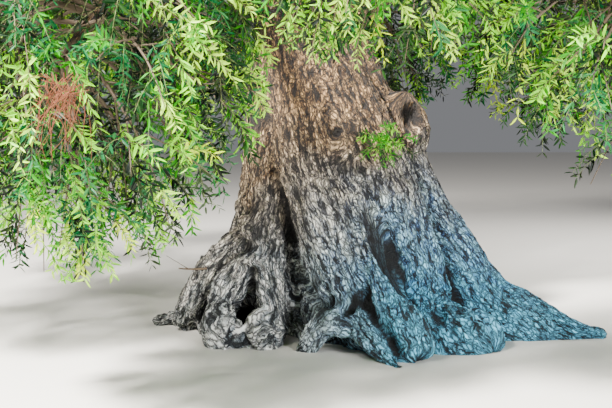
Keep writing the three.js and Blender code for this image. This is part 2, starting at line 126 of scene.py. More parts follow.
# Clefts on both sides of the front leg: three places, the ends' thickness and the depth.
CLEFTS = [
    ((0.11, -0.68, 1.05), (0.35, -0.78, 0.64), (0.63, -0.96, 0.14), (0.01, 0.01), 0.115),
    ((-0.5, -0.38, 1.26), (-0.37, -0.48, 0.92), (-0.3, -0.48, 0.52), (0.01, 0.03), 0.06),
]

# The foliage masses: the ellipsoid that each one fills.
MASSES = {
    "front": ((0.16, -2.6, 2.8), (1.05, 0.95, 1.05)),
    "front_left": ((-1.38, -2.35, 1.98), (1.0, 1.0, 1.25)),
    "left_front": ((-2.75, -1.25, 2.48), (1.2, 1.15, 1.35)),
    "left_back": ((-2.85, 1.15, 2.6), (1.2, 1.2, 1.3)),
    "back_left": ((-1.45, 2.7, 2.75), (1.2, 1.15, 1.2)),
    "back": ((0.5, 3.0, 2.8), (1.15, 1.1, 1.2)),
    "back_right": ((2.15, 2.25, 2.65), (1.2, 1.15, 1.25)),
    "right_back": ((3.05, 0.5, 2.5), (1.15, 1.2, 1.3)),
    "right_front": ((2.75, -1.25, 2.38), (1.15, 1.1, 1.25)),
    "front_right": ((1.42, -2.35, 2.33), (1.05, 1.05, 1.15)),
    "upper_left": ((-1.75, -1.05, 4.15), (1.25, 1.2, 1.15)),
    "upper_front": ((0.35, -1.7, 4.25), (1.2, 1.15, 1.1)),
    "upper_right": ((1.95, 0.1, 4.15), (1.2, 1.2, 1.15)),
    "upper_back": ((0.7, 1.85, 4.3), (1.25, 1.15, 1.15)),
    "upper_rear": ((-1.45, 1.25, 4.35), (1.2, 1.2, 1.15)),
    "top_left": ((-0.55, -0.05, 5.33), (1.2, 1.15, 0.95)),
    "top_right": ((0.7, 0.15, 5.15), (1.05, 1.1, 0.95)),
}
ENTRY_IN = 0.62
ENTRY_UP = 0.42
HANGING_BELOW = 3.5  # masses whose middle is lower than this are entered from above

# The boughs: the mass carried, what it leaves, where (or the heading), and both radii.
FORK = (-0.215, 0, 2.08)
FORK_SPREAD = 0.11
TRUNK_BOUGH_SLOPE = 0.95
BOUGH_ARCH = 0.42
ARRIVAL_SHARE = 0.7
AIM_WEIGHT = 1.3
AIM_LIFT = 0.25
COLLAR = 0.022
BOUGH_STEP = 0.02
BOUGH_SIDES = 24
BOUGH_PLATES = 9
BOUGH_GIRTH = 0.4
BOUGHS = [
    ("left_front", "trunk", 208, (0.19, 0.062)),
    ("right_front", "trunk", -28, (0.185, 0.06)),
    ("right_back", "trunk", 32, (0.165, 0.058)),
    ("back_left", "trunk", 118, (0.185, 0.06)),
    ("top_left", "trunk", None, (0.165, 0.055)),
    ("front_left", "left_front", 0.42, (0.095, 0.05)),
    ("upper_left", "left_front", 0.3, (0.105, 0.052)),
    ("front", "right_front", 0.3, (0.085, 0.045)),
    ("front_right", "right_front", 0.5, (0.09, 0.048)),
    ("back_right", "right_back", 0.45, (0.095, 0.05)),
    ("upper_right", "right_back", 0.28, (0.1, 0.05)),
    ("left_back", "back_left", 0.38, (0.095, 0.05)),
    ("back", "back_left", 0.55, (0.085, 0.048)),
    ("upper_rear", "back_left", 0.28, (0.095, 0.048)),
    ("upper_front", "top_left", 0.22, (0.09, 0.048)),
    ("upper_back", "top_left", 0.34, (0.09, 0.048)),
    ("top_right", "top_left", 0.5, (0.085, 0.045)),
]

# The source's rule for a mass, as shares of its size or in metres.
STEM_LENGTH = 1.285  # as a share of the way from the entry to the middle
STEM_TIP = 0.016
STEM_BARE = 0.3  # share of a stem that bears no twigs
SOURCE_TWIGS = 7
TWIG_REACH = 0.82  # of the longest twigs, as a share of the mass's size
TWIG_EVENNESS = 0.82  # of the shortest, as a share of the longest
GOLDEN_ANGLE = 2.39996
TWIG_ARCH = 0.15
TWIG_SHARES = (1, 0.75, 0.5)  # tried in turn until the twig fits

# The shoot on the trunk: its stem, its half-sizes, its twigs and how near the bark it comes.
SHOOT_FROM = (0.23, -0.33, 1.37)
SHOOT_TO = (0.27, -0.79, 1.43)
SHOOT_SIZE = (0.15, 0.1, 0.11)
SHOOT_TWIGS = 9
SHOOT_FRONT = -0.62

# The bundle of dead twigs, and the room in front of it that the leaves leave free.
DRY_BUNDLE = np.array([-1.27, -3.3, 1.57])
DRY_CLEAR = np.array([-1.26, -3.36, 1.57])
DRY_ROOM = 0.12
DRY_COUNT = 64

# How far this scene carries the rule on: twigs in a mass, more of them in those that the
# photograph shows, and what stands on each limb.
TWIG_COUNTS = {"front_left": 40, "left_front": 34, "front": 34, "front_right": 22, "right_front": 24}
USUAL_TWIGS = 22
TWIG_THICKNESS = (0.015, 0.005)
BRANCHLET_STATIONS = (0.3, 0.46, 0.6, 0.74, 0.87, 0.98)
BRANCHLET_SWINGS = (58, -52, 50, -50, 45, -8)
BRANCHLET_LENGTH = 0.52
BRANCHLET_THICKNESS = (0.0055, 0.0025)
BRANCHLET_TURN = 0.9
SPRIG_STATIONS = (0.22, 0.4, 0.56, 0.72, 0.86, 1.0)
SPRIG_SWINGS = (52, -48, 46, -44, 40, 5)
SPRIG_LENGTH = 0.26
SPRIG_THICKNESS = (0.0022, 0.0009)
SPRIG_TURN = 1.9
DROOP = 0.42
LIMB_LENGTHS = (0.7, 1.25)  # the shortest and the longest offshoot, as shares of its kind's length
LIMB_SWINGS = (0.75, 1.2)  # the smallest and the largest swing, as shares of its station's
LEAF_PAIRS = 10
LEAF_LENGTH = 0.078
LEAF_WIDTH = 0.21
FAR_LEAF = 1.34  # how much longer leaves are in the masses that the photograph doesn't show
LEAF_SIZES = (0.7, 1.2)
LEAF_SPREAD_DEG = (28, 78)
LEAF_FOLD = 0.2
LEAF_BEND = 0.09
LEAVES_IN_PIECE = 45000  # of four triangles each, so that a piece stays under 200,000

# Colours, as they look on a screen. Two of a kind run into each other in patches.
# The blue pair is painted shade: the trunk's shaded right side, coloured blue.
BLUE_SHADE_BARK = ((14, 112, 204), (80, 194, 255))
GREY_BARK = ((104, 116, 126), (206, 216, 220))
TAN_BARK = ((84, 54, 32), (166, 128, 86))
# The high bark is painted shade of the crown: browner and darker near the trunk's top.
CROWN_SHADE_BARK = (88, 58, 28)
# Pale colours serve the bark's pale streaks and painted highlights. The blue one lies in the painted shade on
# the right, and the last one under the crown's painted shade.
PALE_GREY, PALE_BLUE_SHADE = (244, 244, 238), (118, 220, 255)
PALE_TAN, PALE_CROWN_SHADE = (240, 212, 172), (172, 130, 78)
# Dark colours serve the cracks and the painted shade in hollows.
DARK_COOL, DARK_WARM = (4, 8, 12), (12, 6, 3)
TWIG_COLOUR = (84, 70, 54)
SPRIG_COLOUR = (96, 108, 56)
DRY_COLOUR = (98, 48, 14)
LEAF_BELOW = (132, 166, 66)
FLOOR_COLOUR = (226, 222, 214)
# The leaf colours run from dark to light. Darker ones are dealt out inside a mass as painted shade, and
# lighter ones further out as painted light.
LEAF_COLOURS = {
    "shadowed": (2, 14, 3),
    "deep": (3, 38, 6),
    "teal": (4, 76, 36),
    "green": (32, 108, 2),
    "light": (108, 176, 2),
    "silver": (160, 206, 48),
    "yellow": (176, 200, 4),
}

# Which colour a sprig's leaves have, as a share of the row of colours: where it starts, and what the depth in
# the mass (painted shade inside, painted light further out), patches of painted sunlight and shade, and
# chance add.
SHADE_START = -0.09
SHADE_DEPTH = 0.54
SUNLIT_PATCHES = 0.15
SHADE_CHANCE = 0.9

# The camera of the photograph.
EYE = (-0.25, -7.4, 1.5)
FOCAL_PIXELS = 1000
PHOTO_WIDTH = 612
PHOTO_HEIGHT = 408
HORIZON_ROW = 130

# The sizes of the trunk's relief, along the wood and across it where there are two.
FLUTE_SIZE = (0.8, 0.14, 1)
WRINKLE_SIZE = (0.3, 0.036, 1)
PLATE_LENGTH = 0.085
PLATE_WIDTH = 0.045
SWELL_SIZE = 0.45
BURR_PATCH = 0.33
GRAIN_SIZE = 0.035

# How finely lines and skins are made.
SPAN_POINTS = 40
STRAND_POINTS = 72
FINGER_POINTS = 30
CORE_POINTS = 12
BOUGH_POINTS = 101
STEM_POINTS = 25
LIMB_SIDES = 24
PLACES_AT_ONCE = 20000
TRUNK_VOXEL = 0.0118
BURL_TURNS = 32
BURL_LEVELS = 17
TRUNK_SMOOTHING = 26
FORM_SMOOTHING = 22
NEARBY_SMOOTHING = 60
BROAD_SMOOTHING = 200
STUB_LENGTH = 0.55
STUB_MARGINS = (0.016, -0.022)
SPLIT_HEIGHTS = (0.27, 0.8)
PLATE_SHAPE = 0.4  # the cracks' plates: their width over their length


# Repeatable chance and noise

def fraction(wave):
    """A number between 0 and 1 that a small change of the wave changes altogether."""
    wave = wave * 43758.5453
    return wave - np.floor(wave)


def chance(seed, index):
    """A number between 0 and 1 for each pair of whole numbers, as in the solids."""
    return fraction(np.sin(seed * 12.9898 + np.asarray(index) * 78.233))


def scatter(cell_x, cell_y, cell_z, seed):
    """A number between 0 and 1 for each cell of a grid."""
    return fraction(np.sin(cell_x * 127.1 + cell_y * 311.7 + cell_z * 74.7 + seed * 53.3))


def noise(points, size, seed):
    """Smooth noise from -1 to 1 at points, with lumps of that size, alike or for each axis."""
    place = points / np.asarray(size)
    cell = np.floor(place)
    share = place - cell
    share = share * share * (3 - 2 * share)
    total = np.zeros(len(points))
    for corner in np.ndindex(2, 2, 2):
        near = np.abs(1 - np.array(corner) - share)
        total += near[:, 0] * near[:, 1] * near[:, 2] * scatter(*(cell + corner).T, seed)
    return total * 2 - 1


def rough(points, size, seed, octaves=3):
    """Noise with finer noise on it, each octave half as large and half as strong."""
    total = np.zeros(len(points))
    for octave in range(octaves):
        total += noise(points, np.asarray(size) / 2**octave, seed + octave) / 2**octave
    return total


def plates(along, across, seed, period=1e6):
    """How far each place lies from the edge of its plate, 0 at the edge, on a jittered grid
    that comes round again after "period" cells across."""
    cell_a = np.floor(along)
    cell_b = np.floor(across)
    nearest = np.full(along.shape, 9.0)
    second = nearest.copy()
    for da in (-1, 0, 1):
        for db in (-1, 0, 1):
            again = np.mod(cell_b + db, period)
            a = cell_a + da + scatter(cell_a + da, again, 0, seed)
            b = cell_b + db + scatter(cell_a + da, again, 1, seed)
            gap = np.hypot(along - a, across - b)
            second = np.minimum(second, np.maximum(nearest, gap))
            nearest = np.minimum(nearest, gap)
    return second - nearest


def smoothstep(low, high, x):
    share = np.clip((x - low) / (high - low), 0, 1)
    return share * share * (3 - 2 * share)


def lerp(a, b, t):
    return a + (b - a) * t


def unit(vectors):
    length = np.linalg.norm(vectors, axis=-1, keepdims=True)
    return vectors / np.maximum(length, 1e-9)


# Curves, as the solids have them

def catmull_rom(points, count):
    """Points along the centripetal curve through points."""
    points = np.asarray(points, float)
    padded = np.vstack([2 * points[0] - points[1], points, 2 * points[-1] - points[-2]])
    result = []
    for t in np.linspace(0, len(points) - 1, count):
        i = min(int(t), len(points) - 2)
        p0, p1, p2, p3 = padded[i : i + 4]
        d0, d1, d2 = (max(np.linalg.norm(b - a) ** 0.5, 1e-6) for a, b in ((p0, p1), (p1, p2), (p2, p3)))
        m1 = ((p1 - p0) / d0 - (p2 - p0) / (d0 + d1) + (p2 - p1) / d1) * d1
        m2 = ((p2 - p1) / d1 - (p3 - p1) / (d1 + d2) + (p3 - p2) / d2) * d1
        u = t - i
        result.append(p1 + m1 * u + (3 * (p2 - p1) - 2 * m1 - m2) * u**2 + (2 * (p1 - p2) + m1 + m2) * u**3)
    return np.array(result)


def bezier(handles, count):
    """Points along the quadratic or cubic curve with these handles."""
    t = np.linspace(0, 1, count)[:, None]
    level = [np.broadcast_to(np.asarray(handle, float), (count, 3)) for handle in handles]
    while len(level) > 1:
        level = [lerp(a, b, t) for a, b in zip(level, level[1:])]
    return level[0]


def way_along(line):
    """How far along the line each of its points lies."""
    return np.concatenate([[0], np.cumsum(np.linalg.norm(np.diff(line, axis=0), axis=1))])


def evenly(line, count):
    """The same line with count points spaced evenly along it."""
    length = way_along(line)
    places = np.linspace(0, length[-1], count)
    return np.stack([np.interp(places, length, line[:, k]) for k in range(3)], axis=1)


def line_length(line):
    return np.linalg.norm(np.diff(line, axis=0), axis=1).sum()


def tangents_of(line):
    return unit(np.gradient(line, axis=0))


def frames_of(line, start=(0.0, 0.0, 1.0)):
    """Tangents with two directions across them that don't spin along the line."""
    tangents = tangents_of(line)
    normals = np.zeros_like(line)
    across = np.asarray(start, float)
    if abs(across @ tangents[0]) > 0.9:
        across = np.array([0.0, 1.0, 0.0])
    for i, tangent in enumerate(tangents):
        across = across - tangent * (across @ tangent)
        across = across / np.linalg.norm(across)
        normals[i] = across
    return tangents, normals, np.cross(tangents, normals)


# Meshes from arrays

def linked(name, data):
    """A new object with its data, in the scene."""
    obj = bpy.data.objects.new(name, data)
    bpy.context.scene.collection.objects.link(obj)
    return obj


def mesh_object(name, vertices, quads, smooth=True):
    mesh = bpy.data.meshes.new(name)
    mesh.vertices.add(len(vertices))
    mesh.vertices.foreach_set("co", np.asarray(vertices, np.float32).ravel())
    quads = np.asarray(quads, np.int32)
    mesh.loops.add(quads.size)
    mesh.loops.foreach_set("vertex_index", quads.ravel())
    mesh.polygons.add(len(quads))
    mesh.polygons.foreach_set("loop_start", np.arange(len(quads), dtype=np.int32) * quads.shape[1])
    mesh.polygons.foreach_set("use_smooth", np.full(len(quads), smooth))
    mesh.update(calc_edges=True)
    return linked(name, mesh)


def solid_object(name, vertices, faces):
    """An object whose faces have different numbers of corners."""
    mesh = bpy.data.meshes.new(name)
    mesh.from_pydata(vertices.tolist(), [], faces)
    return linked(name, mesh)


def read_out(items, field, size, kind):
    """One field of a mesh's vertices, edges or corners, as rows of that size."""
    values = np.empty(len(items) * size, kind)
    items.foreach_get(field, values)
    return values.reshape(-1, size)


def as_rows(mesh):
    return read_out(mesh.vertices, "co", 3, np.float32).astype(float)


def turns_of(sides):
    return 2 * np.pi * np.arange(sides) / sides


def row_quads(rows, sides):
    """The quads between rows of points that go round a limb: rows by sides by corners."""
    first = np.arange(rows - 1)[:, None] * sides
    side = np.arange(sides)
    after = (side + 1) % sides
    return np.stack([first + side, first + after, first + sides + after, first + sides + side], -1)


def ring_round(line, sides, start=(0.0, 0.0, 1.0)):
    """The directions in which the points round a line lie: points by sides by axes."""
    _, normals, binormals = frames_of(line, start)
    turns = turns_of(sides)
    return np.cos(turns)[:, None] * normals[:, None] + np.sin(turns)[:, None] * binormals[:, None]


def closed_tube(name, line, radii):
    """A round limb whose ends close in a point."""
    sides = LIMB_SIDES
    vertices = (line[:, None] + ring_round(line, sides) * radii[:, None, None]).reshape(-1, 3)
    quads = row_quads(len(line), sides).reshape(-1, 4)
    first, last_row = len(vertices), len(vertices) - sides
    fans = [(first, (k + 1) % sides, k) for k in range(sides)]
    fans += [(first + 1, last_row + k, last_row + (k + 1) % sides) for k in range(sides)]
    return solid_object(name, np.vstack([vertices, line[0], line[-1]]), quads.tolist() + fans)


def ellipsoid(name, place, size):
    """A round lump with its place and half-sizes."""
    turns, levels = BURL_TURNS, BURL_LEVELS
    turn = np.linspace(0, 2 * np.pi, turns, endpoint=False)
    level = np.linspace(0, np.pi, levels)[1:-1]
    flat, up = np.sin(level)[:, None], np.cos(level)[:, None]
    ring = np.stack([flat * np.cos(turn), flat * np.sin(turn), up * np.ones(turns)], -1).reshape(-1, 3)
    sides = [(k, (k + 1) % turns) for k in range(turns)]
    top, last = len(ring), (levels - 3) * turns
    faces = [(row + k, row + turns + k, row + turns + after, row + after)
             for row in range(0, last, turns) for k, after in sides]
    for k, after in sides:
        faces += [(top, k, after), (top + 1, last + after, last + k)]
    return solid_object(name, np.vstack([ring, [0, 0, 1], [0, 0, -1]]) * size + place, faces)


def joined(name, objects):
    """One object from several, made by copying their meshes into one."""
    vertices, faces, start = [], [], 0
    for obj in objects:
        vertices.append(as_rows(obj.data))
        faces += [tuple(v + start for v in face.vertices) for face in obj.data.polygons]
        start += len(obj.data.vertices)
        bpy.data.objects.remove(obj)
    return solid_object(name, np.vstack(vertices), faces)


def applied(obj):
    """The object's mesh with its modifiers applied, in the object itself."""
    graph = bpy.context.evaluated_depsgraph_get()
    mesh = bpy.data.meshes.new_from_object(obj.evaluated_get(graph))
    obj.modifiers.clear()
    obj.data = mesh
    return obj


def voxel_remesh(obj, size):
    remesh = obj.modifiers.new("remesh", "REMESH")
    remesh.mode = "VOXEL"
    remesh.voxel_size = size
    remesh.adaptivity = 0
    return applied(obj)


# The trunk's limbs

def trunk_line(height):
    rise = max(height, 0) / NECK_HEIGHT
    return np.array([FOOT_OFFSET - LEAN * rise**LEAN_POWER, 0, height])


def around_trunk(height, angle, spread):
    turn = math.radians(angle)
    return trunk_line(height) + spread * np.array([math.cos(turn), math.sin(turn), 0])


def strand_limb(waist, foot, reach, root, tip, girth):
    """The line and the thickness of one strand, from the neck to the tip of its root."""
    hip_spread = lerp(WAIST_SPREAD, reach, HIP_FLARE)
    points = [
        around_trunk(NECK_HEIGHT, waist + TWIST_DEG, NECK_SPREAD),
        around_trunk(WAIST_HEIGHT, waist, WAIST_SPREAD),
        around_trunk(HIP_HEIGHT, lerp(waist, foot, 0.5), hip_spread),
        around_trunk(ROOT_HEIGHT, lerp(waist, foot, 0.9), reach * ROOT_SHARE),
        around_trunk(TIP_HEIGHT, foot, reach),
    ]
    radii = [NECK_RADIUS * girth, WAIST_RADIUS * girth, HIP_RADIUS * girth, root, tip]
    spans = len(points) - 1
    fine = catmull_rom(points, spans * SPAN_POINTS + 1)
    steps = way_along(fine)
    stations = steps[::SPAN_POINTS] / steps[-1]
    line = evenly(fine, STRAND_POINTS)
    t = np.linspace(0, 1, STRAND_POINTS)
    thickness = np.zeros(STRAND_POINTS)
    for i in range(spans):
        inside = (t >= stations[i]) & (t <= stations[i + 1])
        share = smoothstep(stations[i], stations[i + 1], t)
        thickness[inside] = lerp(radii[i], radii[i + 1], share)[inside]
    return line, thickness


def finger_limb(start, middle, end, ends, deep=0.0):
    """A limb through three places, thicker in its middle by "deep"."""
    line = evenly(catmull_rom([start, middle, end], 2 * SPAN_POINTS + 1), FINGER_POINTS)
    t = np.linspace(0, 1, FINGER_POINTS)
    return line, lerp(ends[0], ends[1], t) + deep * np.sin(np.pi * t)


def smoothed(values, pairs, counts, times):
    """Each vertex's values moved half-way to the mean of its neighbours', several times."""
    for _ in range(times):
        total = np.zeros_like(values)
        for k in range(values.shape[1]):
            column = values[:, k]
            total[:, k] = np.bincount(pairs[:, 0], column[pairs[:, 1]], len(values))
            total[:, k] += np.bincount(pairs[:, 1], column[pairs[:, 0]], len(values))
        values = lerp(values, total / counts[:, None], 0.5)
    return values


def normals_of(points, quads):
    """Vertex normals of a mesh of quads."""
    diagonal_a = points[quads[:, 2]] - points[quads[:, 0]]
    diagonal_b = points[quads[:, 3]] - points[quads[:, 1]]
    face = np.cross(diagonal_a, diagonal_b)
    total = np.zeros_like(points)
    for k in range(3):
        for corner in range(4):
            total[:, k] += np.bincount(quads[:, corner], face[:, k], len(points))
    return unit(total)


def outward(line):
    """The level direction from the trunk's middle to a limb."""
    way = line[len(line) // 2] - (FOOT_OFFSET, 0, 0)
    return unit(np.array([way[0], way[1], 0.0]))


def limb_places(points, limbs):
    """For each limb and point: height over the limb's round surface, the way along the limb
    and the way round it, which starts on the side that faces out."""
    over, along, round_it = [], [], []
    for line, radii in limbs:
        tangents, normals, binormals = frames_of(line, outward(line))
        step = line_length(line) / (len(line) - 1)
        nearest = np.empty(len(points), int)
        for start in range(0, len(points), PLACES_AT_ONCE):
            part = points[start : start + PLACES_AT_ONCE]
            gaps = ((part[:, None, :] - line[None, :, :]) ** 2).sum(-1)
            nearest[start : start + PLACES_AT_ONCE] = gaps.argmin(1)
        away = points - line[nearest]
        on = np.clip((away * tangents[nearest]).sum(1), -step, step)
        place = nearest * step + on
        away = away - tangents[nearest] * on[:, None]
        radius = np.interp(place, np.arange(len(line)) * step, radii)
        angle = np.arctan2((away * binormals[nearest]).sum(1), (away * normals[nearest]).sum(1))
        over.append(np.linalg.norm(away, axis=1) - radius)
        along.append(place)
        round_it.append(angle * np.maximum(radius, 0.05))
    return np.array(over), np.array(along), np.array(round_it)


def bough_stubs(boughs):
    """The first stretch of each main bough, which the trunk's skin takes in."""
    stubs = []
    for bough in boughs.values():
        if bough["leaves"] == "trunk":
            count = int(len(bough["line"]) * STUB_LENGTH / line_length(bough["line"]))
            margin = np.linspace(*STUB_MARGINS, count)
            stubs.append((bough["line"][:count], bough["radii"][:count] + margin))
    return stubs


def rough_trunk(limbs):
    """The limbs, burls and core of the trunk as one skin of small quads, hollows cut out."""
    solids = [closed_tube("limb", line, radii) for line, radii in limbs]
    solids += [ellipsoid("burl", place, size) for place, size in BURLS]
    core = np.array([trunk_line(h) for h in np.linspace(-0.08, NECK_HEIGHT + 0.06, CORE_POINTS)])
    solids.append(closed_tube("core", core, np.linspace(*CORE_RADII, CORE_POINTS)))
    skin = voxel_remesh(joined("trunk", solids), TRUNK_VOXEL)
    cutters = [ellipsoid("hollow", place, size) for place, size in HOLLOWS]
    for *places, deep in CLEFTS:
        line, radii = finger_limb(*places, deep)
        cutters.append(closed_tube("cleft", line, radii))
    cutter = voxel_remesh(joined("cutter", cutters), TRUNK_VOXEL)
    cut = skin.modifiers.new("cut", "BOOLEAN")
    cut.operation = "DIFFERENCE"
    cut.solver = "MANIFOLD"
    cut.object = cutter
    applied(skin)
    bpy.data.objects.remove(cutter)
    return voxel_remesh(skin, TRUNK_VOXEL)


def knot_folds(points):
    """The grooved edge of each knot and the folds that run round it and die out, and the painted shade in the
    groove, heavier on its upper side, and in the knot's middle.
    """
    total = np.zeros(len(points))
    knot_shade = np.zeros(len(points))
    uneven = 1 + 0.16 * noise(points, 0.12, 71)
    for place, radius, depth, middle_shade in KNOTS:
        gap = np.linalg.norm((points - place) * (1, 0.6, 1), axis=1) * uneven / radius
        groove = np.exp(-(((gap - 1) / 0.14) ** 2))
        folds = np.cos((gap - 1.5) * 2 * np.pi / 0.55)
        folds = folds * smoothstep(2.6, 1.2, gap) * smoothstep(0.95, 1.2, gap)
        upper = smoothstep(-1.6, 0.3, (points[:, 2] - place[2]) / radius)
        total += depth * (0.45 * folds - groove * (0.4 + 0.6 * upper))
        # Painted shade in the groove, heavier on its upper side, and in the knot's middle.
        knot_shade = np.maximum(knot_shade, np.maximum(0.4 * groove * upper, middle_shade * smoothstep(1.3, 0.4, gap)))
    return total, knot_shade


def ridges(places, sizes, seed):
    """Sharp ridges with round valleys, from 0 to 1."""
    return 1 - np.abs(rough(places, sizes, seed, 2)).clip(0, 1)


def sculpted_trunk(boughs):
    """The trunk's skin with its flutes, creases, burrs, plates and wrinkles: points, quads,
    the places for its pattern, and how hollow and how proud each point is."""
    limbs = [strand_limb(*strand) for strand in STRANDS] + [finger_limb(*finger) for finger in FINGERS]
    limbs += bough_stubs(boughs)
    trunk = rough_trunk(limbs)
    points = as_rows(trunk.data)
    pairs = read_out(trunk.data.edges, "vertices", 2, np.int32)
    counts = np.bincount(pairs.ravel(), minlength=len(points)).astype(float)
    quads = read_out(trunk.data.loops, "vertex_index", 1, np.int32).reshape(-1, 4)
    bpy.data.objects.remove(trunk)
    points = smoothed(points, pairs, counts, TRUNK_SMOOTHING)
    over, along, round_it = limb_places(points, limbs)
    order = np.argsort(over, axis=0)
    mine = order[0]
    each = np.arange(len(points))
    crease = over[order[1], each] - over[mine, each]
    s, w = along[mine, each], round_it[mine, each]
    flat = np.stack([s, w, mine * 7.0], 1)
    low = smoothstep(1.25, 0.45, points[:, 2] + 0.12 * noise(points, 0.4, 19))
    inside = smoothstep(0.07, 0.0, over[mine, each])

    # Broad swells, creases between the limbs and flutes along them
    normals = normals_of(points, quads)
    lift = 0.022 * rough(points, SWELL_SIZE, 11, 2)
    lift += lerp(0.012, 0.05, low) * (ridges(flat, FLUTE_SIZE, 3) - 0.6)
    lift -= lerp(0.022, 0.06, low) * np.exp(-((crease / 0.05) ** 2)) * inside
    folds, knot_shade = knot_folds(points)
    lift += folds
    points = smoothed(points + normals * lift[:, None], pairs, counts, 4)

    # Burrs in patches, and wrinkles along the roots
    normals = normals_of(points, quads)
    burr = plates(points[:, 0] / 0.09 + points[:, 2] / 0.15, points[:, 1] / 0.1 - points[:, 2] / 0.12, 5)
    patch = smoothstep(-0.05, 0.5, noise(points, BURR_PATCH, 41)) * smoothstep(1.35, 0.9, points[:, 2])
    lift = 0.026 * patch * (smoothstep(0, 0.55, burr) - 0.5)
    lift += lerp(0.006, 0.017, low) * (ridges(flat, WRINKLE_SIZE, 31) - 0.6)
    points = smoothed(points + normals * lift[:, None], pairs, counts, 1)
    form = smoothed(points, pairs, counts, FORM_SMOOTHING)

    # Plates with cracks between them, and fine roughness
    normals = normals_of(points, quads)
    bend = 0.3 * np.stack([noise(points, 0.1, 23), noise(points, 0.1, 29)], 1)
    plate = plates(s / PLATE_LENGTH + bend[:, 0], w / PLATE_WIDTH + bend[:, 1] + mine * 5.3, 7)
    lift = -lerp(0.006, 0.003, low) * smoothstep(0.3, 0.02, plate)
    lift += 0.0035 * rough(points, GRAIN_SIZE, 37, 2)
    points = points + normals * lift[:, None]
    points[:, 2] = np.maximum(points[:, 2], 0)

    # How hollow and how proud each point is, against the form round it, near and broad, for painted shade in
    # hollows and painted highlight on what stands proud
    normals = normals_of(form, quads)
    sunk = ((form - points) * normals).sum(1)
    nearby = smoothed(form, pairs, counts, NEARBY_SMOOTHING)
    deep = ((nearby - form) * normals).sum(1)
    broad = ((smoothed(nearby, pairs, counts, BROAD_SMOOTHING) - form) * normals).sum(1)
    carved = smoothstep(-0.02, -0.1, over[mine, each])
    # Painted shade in fine cracks, hollows, broad valleys, knot grooves and carved-out hollows.
    hollow = smoothstep(0.0, 0.02, sunk) * 0.5 + smoothstep(0.004, 0.035, deep) * 0.7 + 0.9 * knot_shade
    hollow += 0.55 * smoothstep(0.006, 0.06, broad) + 0.85 * carved
    # Painted highlight on what stands proud, near and broad.
    ridge = 0.6 * smoothstep(0.001, 0.012, -sunk - 0.3 * deep) + 0.6 * smoothstep(0.01, 0.06, -broad)
    owner = mine[quads[:, 0]][:, None]
    flow = np.stack([round_it[owner, quads] + owner * 3.7, along[owner, quads]], -1)
    return points, quads, flow, {"hollow": np.clip(hollow, 0, 1), "ridge": np.clip(ridge, 0, 1)}


def add_fields(mesh, flow, fields):
    """The places of the bark's pattern, in metres, at each corner, and a value at each point."""
    layer = mesh.uv_layers.new(name="flow")
    layer.data.foreach_set("uv", np.asarray(flow, np.float32).ravel())
    for name, values in fields.items():
        attribute = mesh.attributes.new(name, "FLOAT", "POINT")
        attribute.data.foreach_set("value", np.asarray(values, np.float32))


def trunk_pieces(boughs):
    """The trunk in pieces that meet at certain heights."""
    points, quads, flow, fields = sculpted_trunk(boughs)
    normals = normals_of(points, quads)
    level = np.digitize(points[quads, 2].mean(1), SPLIT_HEIGHTS)
    made = []
    for number, name in enumerate(("bark_roots", "bark_foot", "bark_trunk")):
        chosen = level == number
        used = np.unique(quads[chosen])
        again = np.zeros(len(points), int)
        again[used] = np.arange(len(used))
        piece = mesh_object(name, points[used], again[quads[chosen]])
        piece.data.normals_split_custom_set_from_vertices(normals[used].tolist())
        add_fields(piece.data, flow[chosen], {name: values[used] for name, values in fields.items()})
        made.append(piece)
    return made


# The boughs

def planned_boughs():
    """Each bough's line and thickness, and where and how it enters its mass."""
    boughs = {}
    for carries, leaves, where, ends in BOUGHS:
        at, size = (np.array(v) for v in MASSES[carries])
        out = unit(np.array([at[0] - FORK[0], at[1], 0]))
        hangs = at[2] < HANGING_BELOW
        inward, up = (ENTRY_IN, ENTRY_UP) if hangs else (ENTRY_UP, -ENTRY_IN)
        entry = at - out * inward * size[0] + (0, 0, up * size[2])
        arrival = unit(at - entry)
        if leaves == "trunk" and where is None:
            start, heading = np.array(FORK), unit(np.array([0.05, 0, 1]))
        elif leaves == "trunk":
            turn = math.radians(where)
            heading = unit(np.array([math.cos(turn), math.sin(turn), TRUNK_BOUGH_SLOPE]))
            start = FORK + heading * FORK_SPREAD
        else:
            parent = boughs[leaves]["line"]
            place = where * (len(parent) - 1)
            start = parent[int(place)]
            onward = tangents_of(parent)[int(place)]
            heading = unit(AIM_WEIGHT * unit(entry - start) + onward + (0, 0, AIM_LIFT))
        reach = np.linalg.norm(entry - start) * BOUGH_ARCH
        handles = (start, start + heading * reach, entry - arrival * reach * ARRIVAL_SHARE, entry)
        line = evenly(bezier(handles, 4 * SPAN_POINTS + 1), BOUGH_POINTS)
        t = np.linspace(0, 1, BOUGH_POINTS)
        collar = 0 if leaves == "trunk" else COLLAR
        radii = lerp(ends[0], ends[1], t**0.75) + collar * np.exp(-t * 14)
        stem = entry, lerp(entry, at, STEM_LENGTH)
        boughs[carries] = {"line": line, "radii": radii, "stem": stem, "leaves": leaves}
    return boughs


def bough_limb(bough):
    """A bough's line and thickness, carried on as the stem of its mass."""
    start, end = bough["stem"]
    t = np.linspace(0, 1, STEM_POINTS)[1:]
    line = np.vstack([bough["line"], lerp(start, end, t[:, None])])
    radii = np.concatenate([bough["radii"], lerp(bough["radii"][-1], STEM_TIP, t)])
    count = int(line_length(line) / BOUGH_STEP)
    steps = way_along(line)
    line = smoothed_line(evenly(line, count))
    return line, np.interp(np.linspace(0, steps[-1], count), steps, radii)


def smoothed_line(line):
    """The same line with its corners eased."""
    for _ in range(6):
        line[1:-1] = (line[:-2] + 2 * line[1:-1] + line[2:]) / 4
    return line


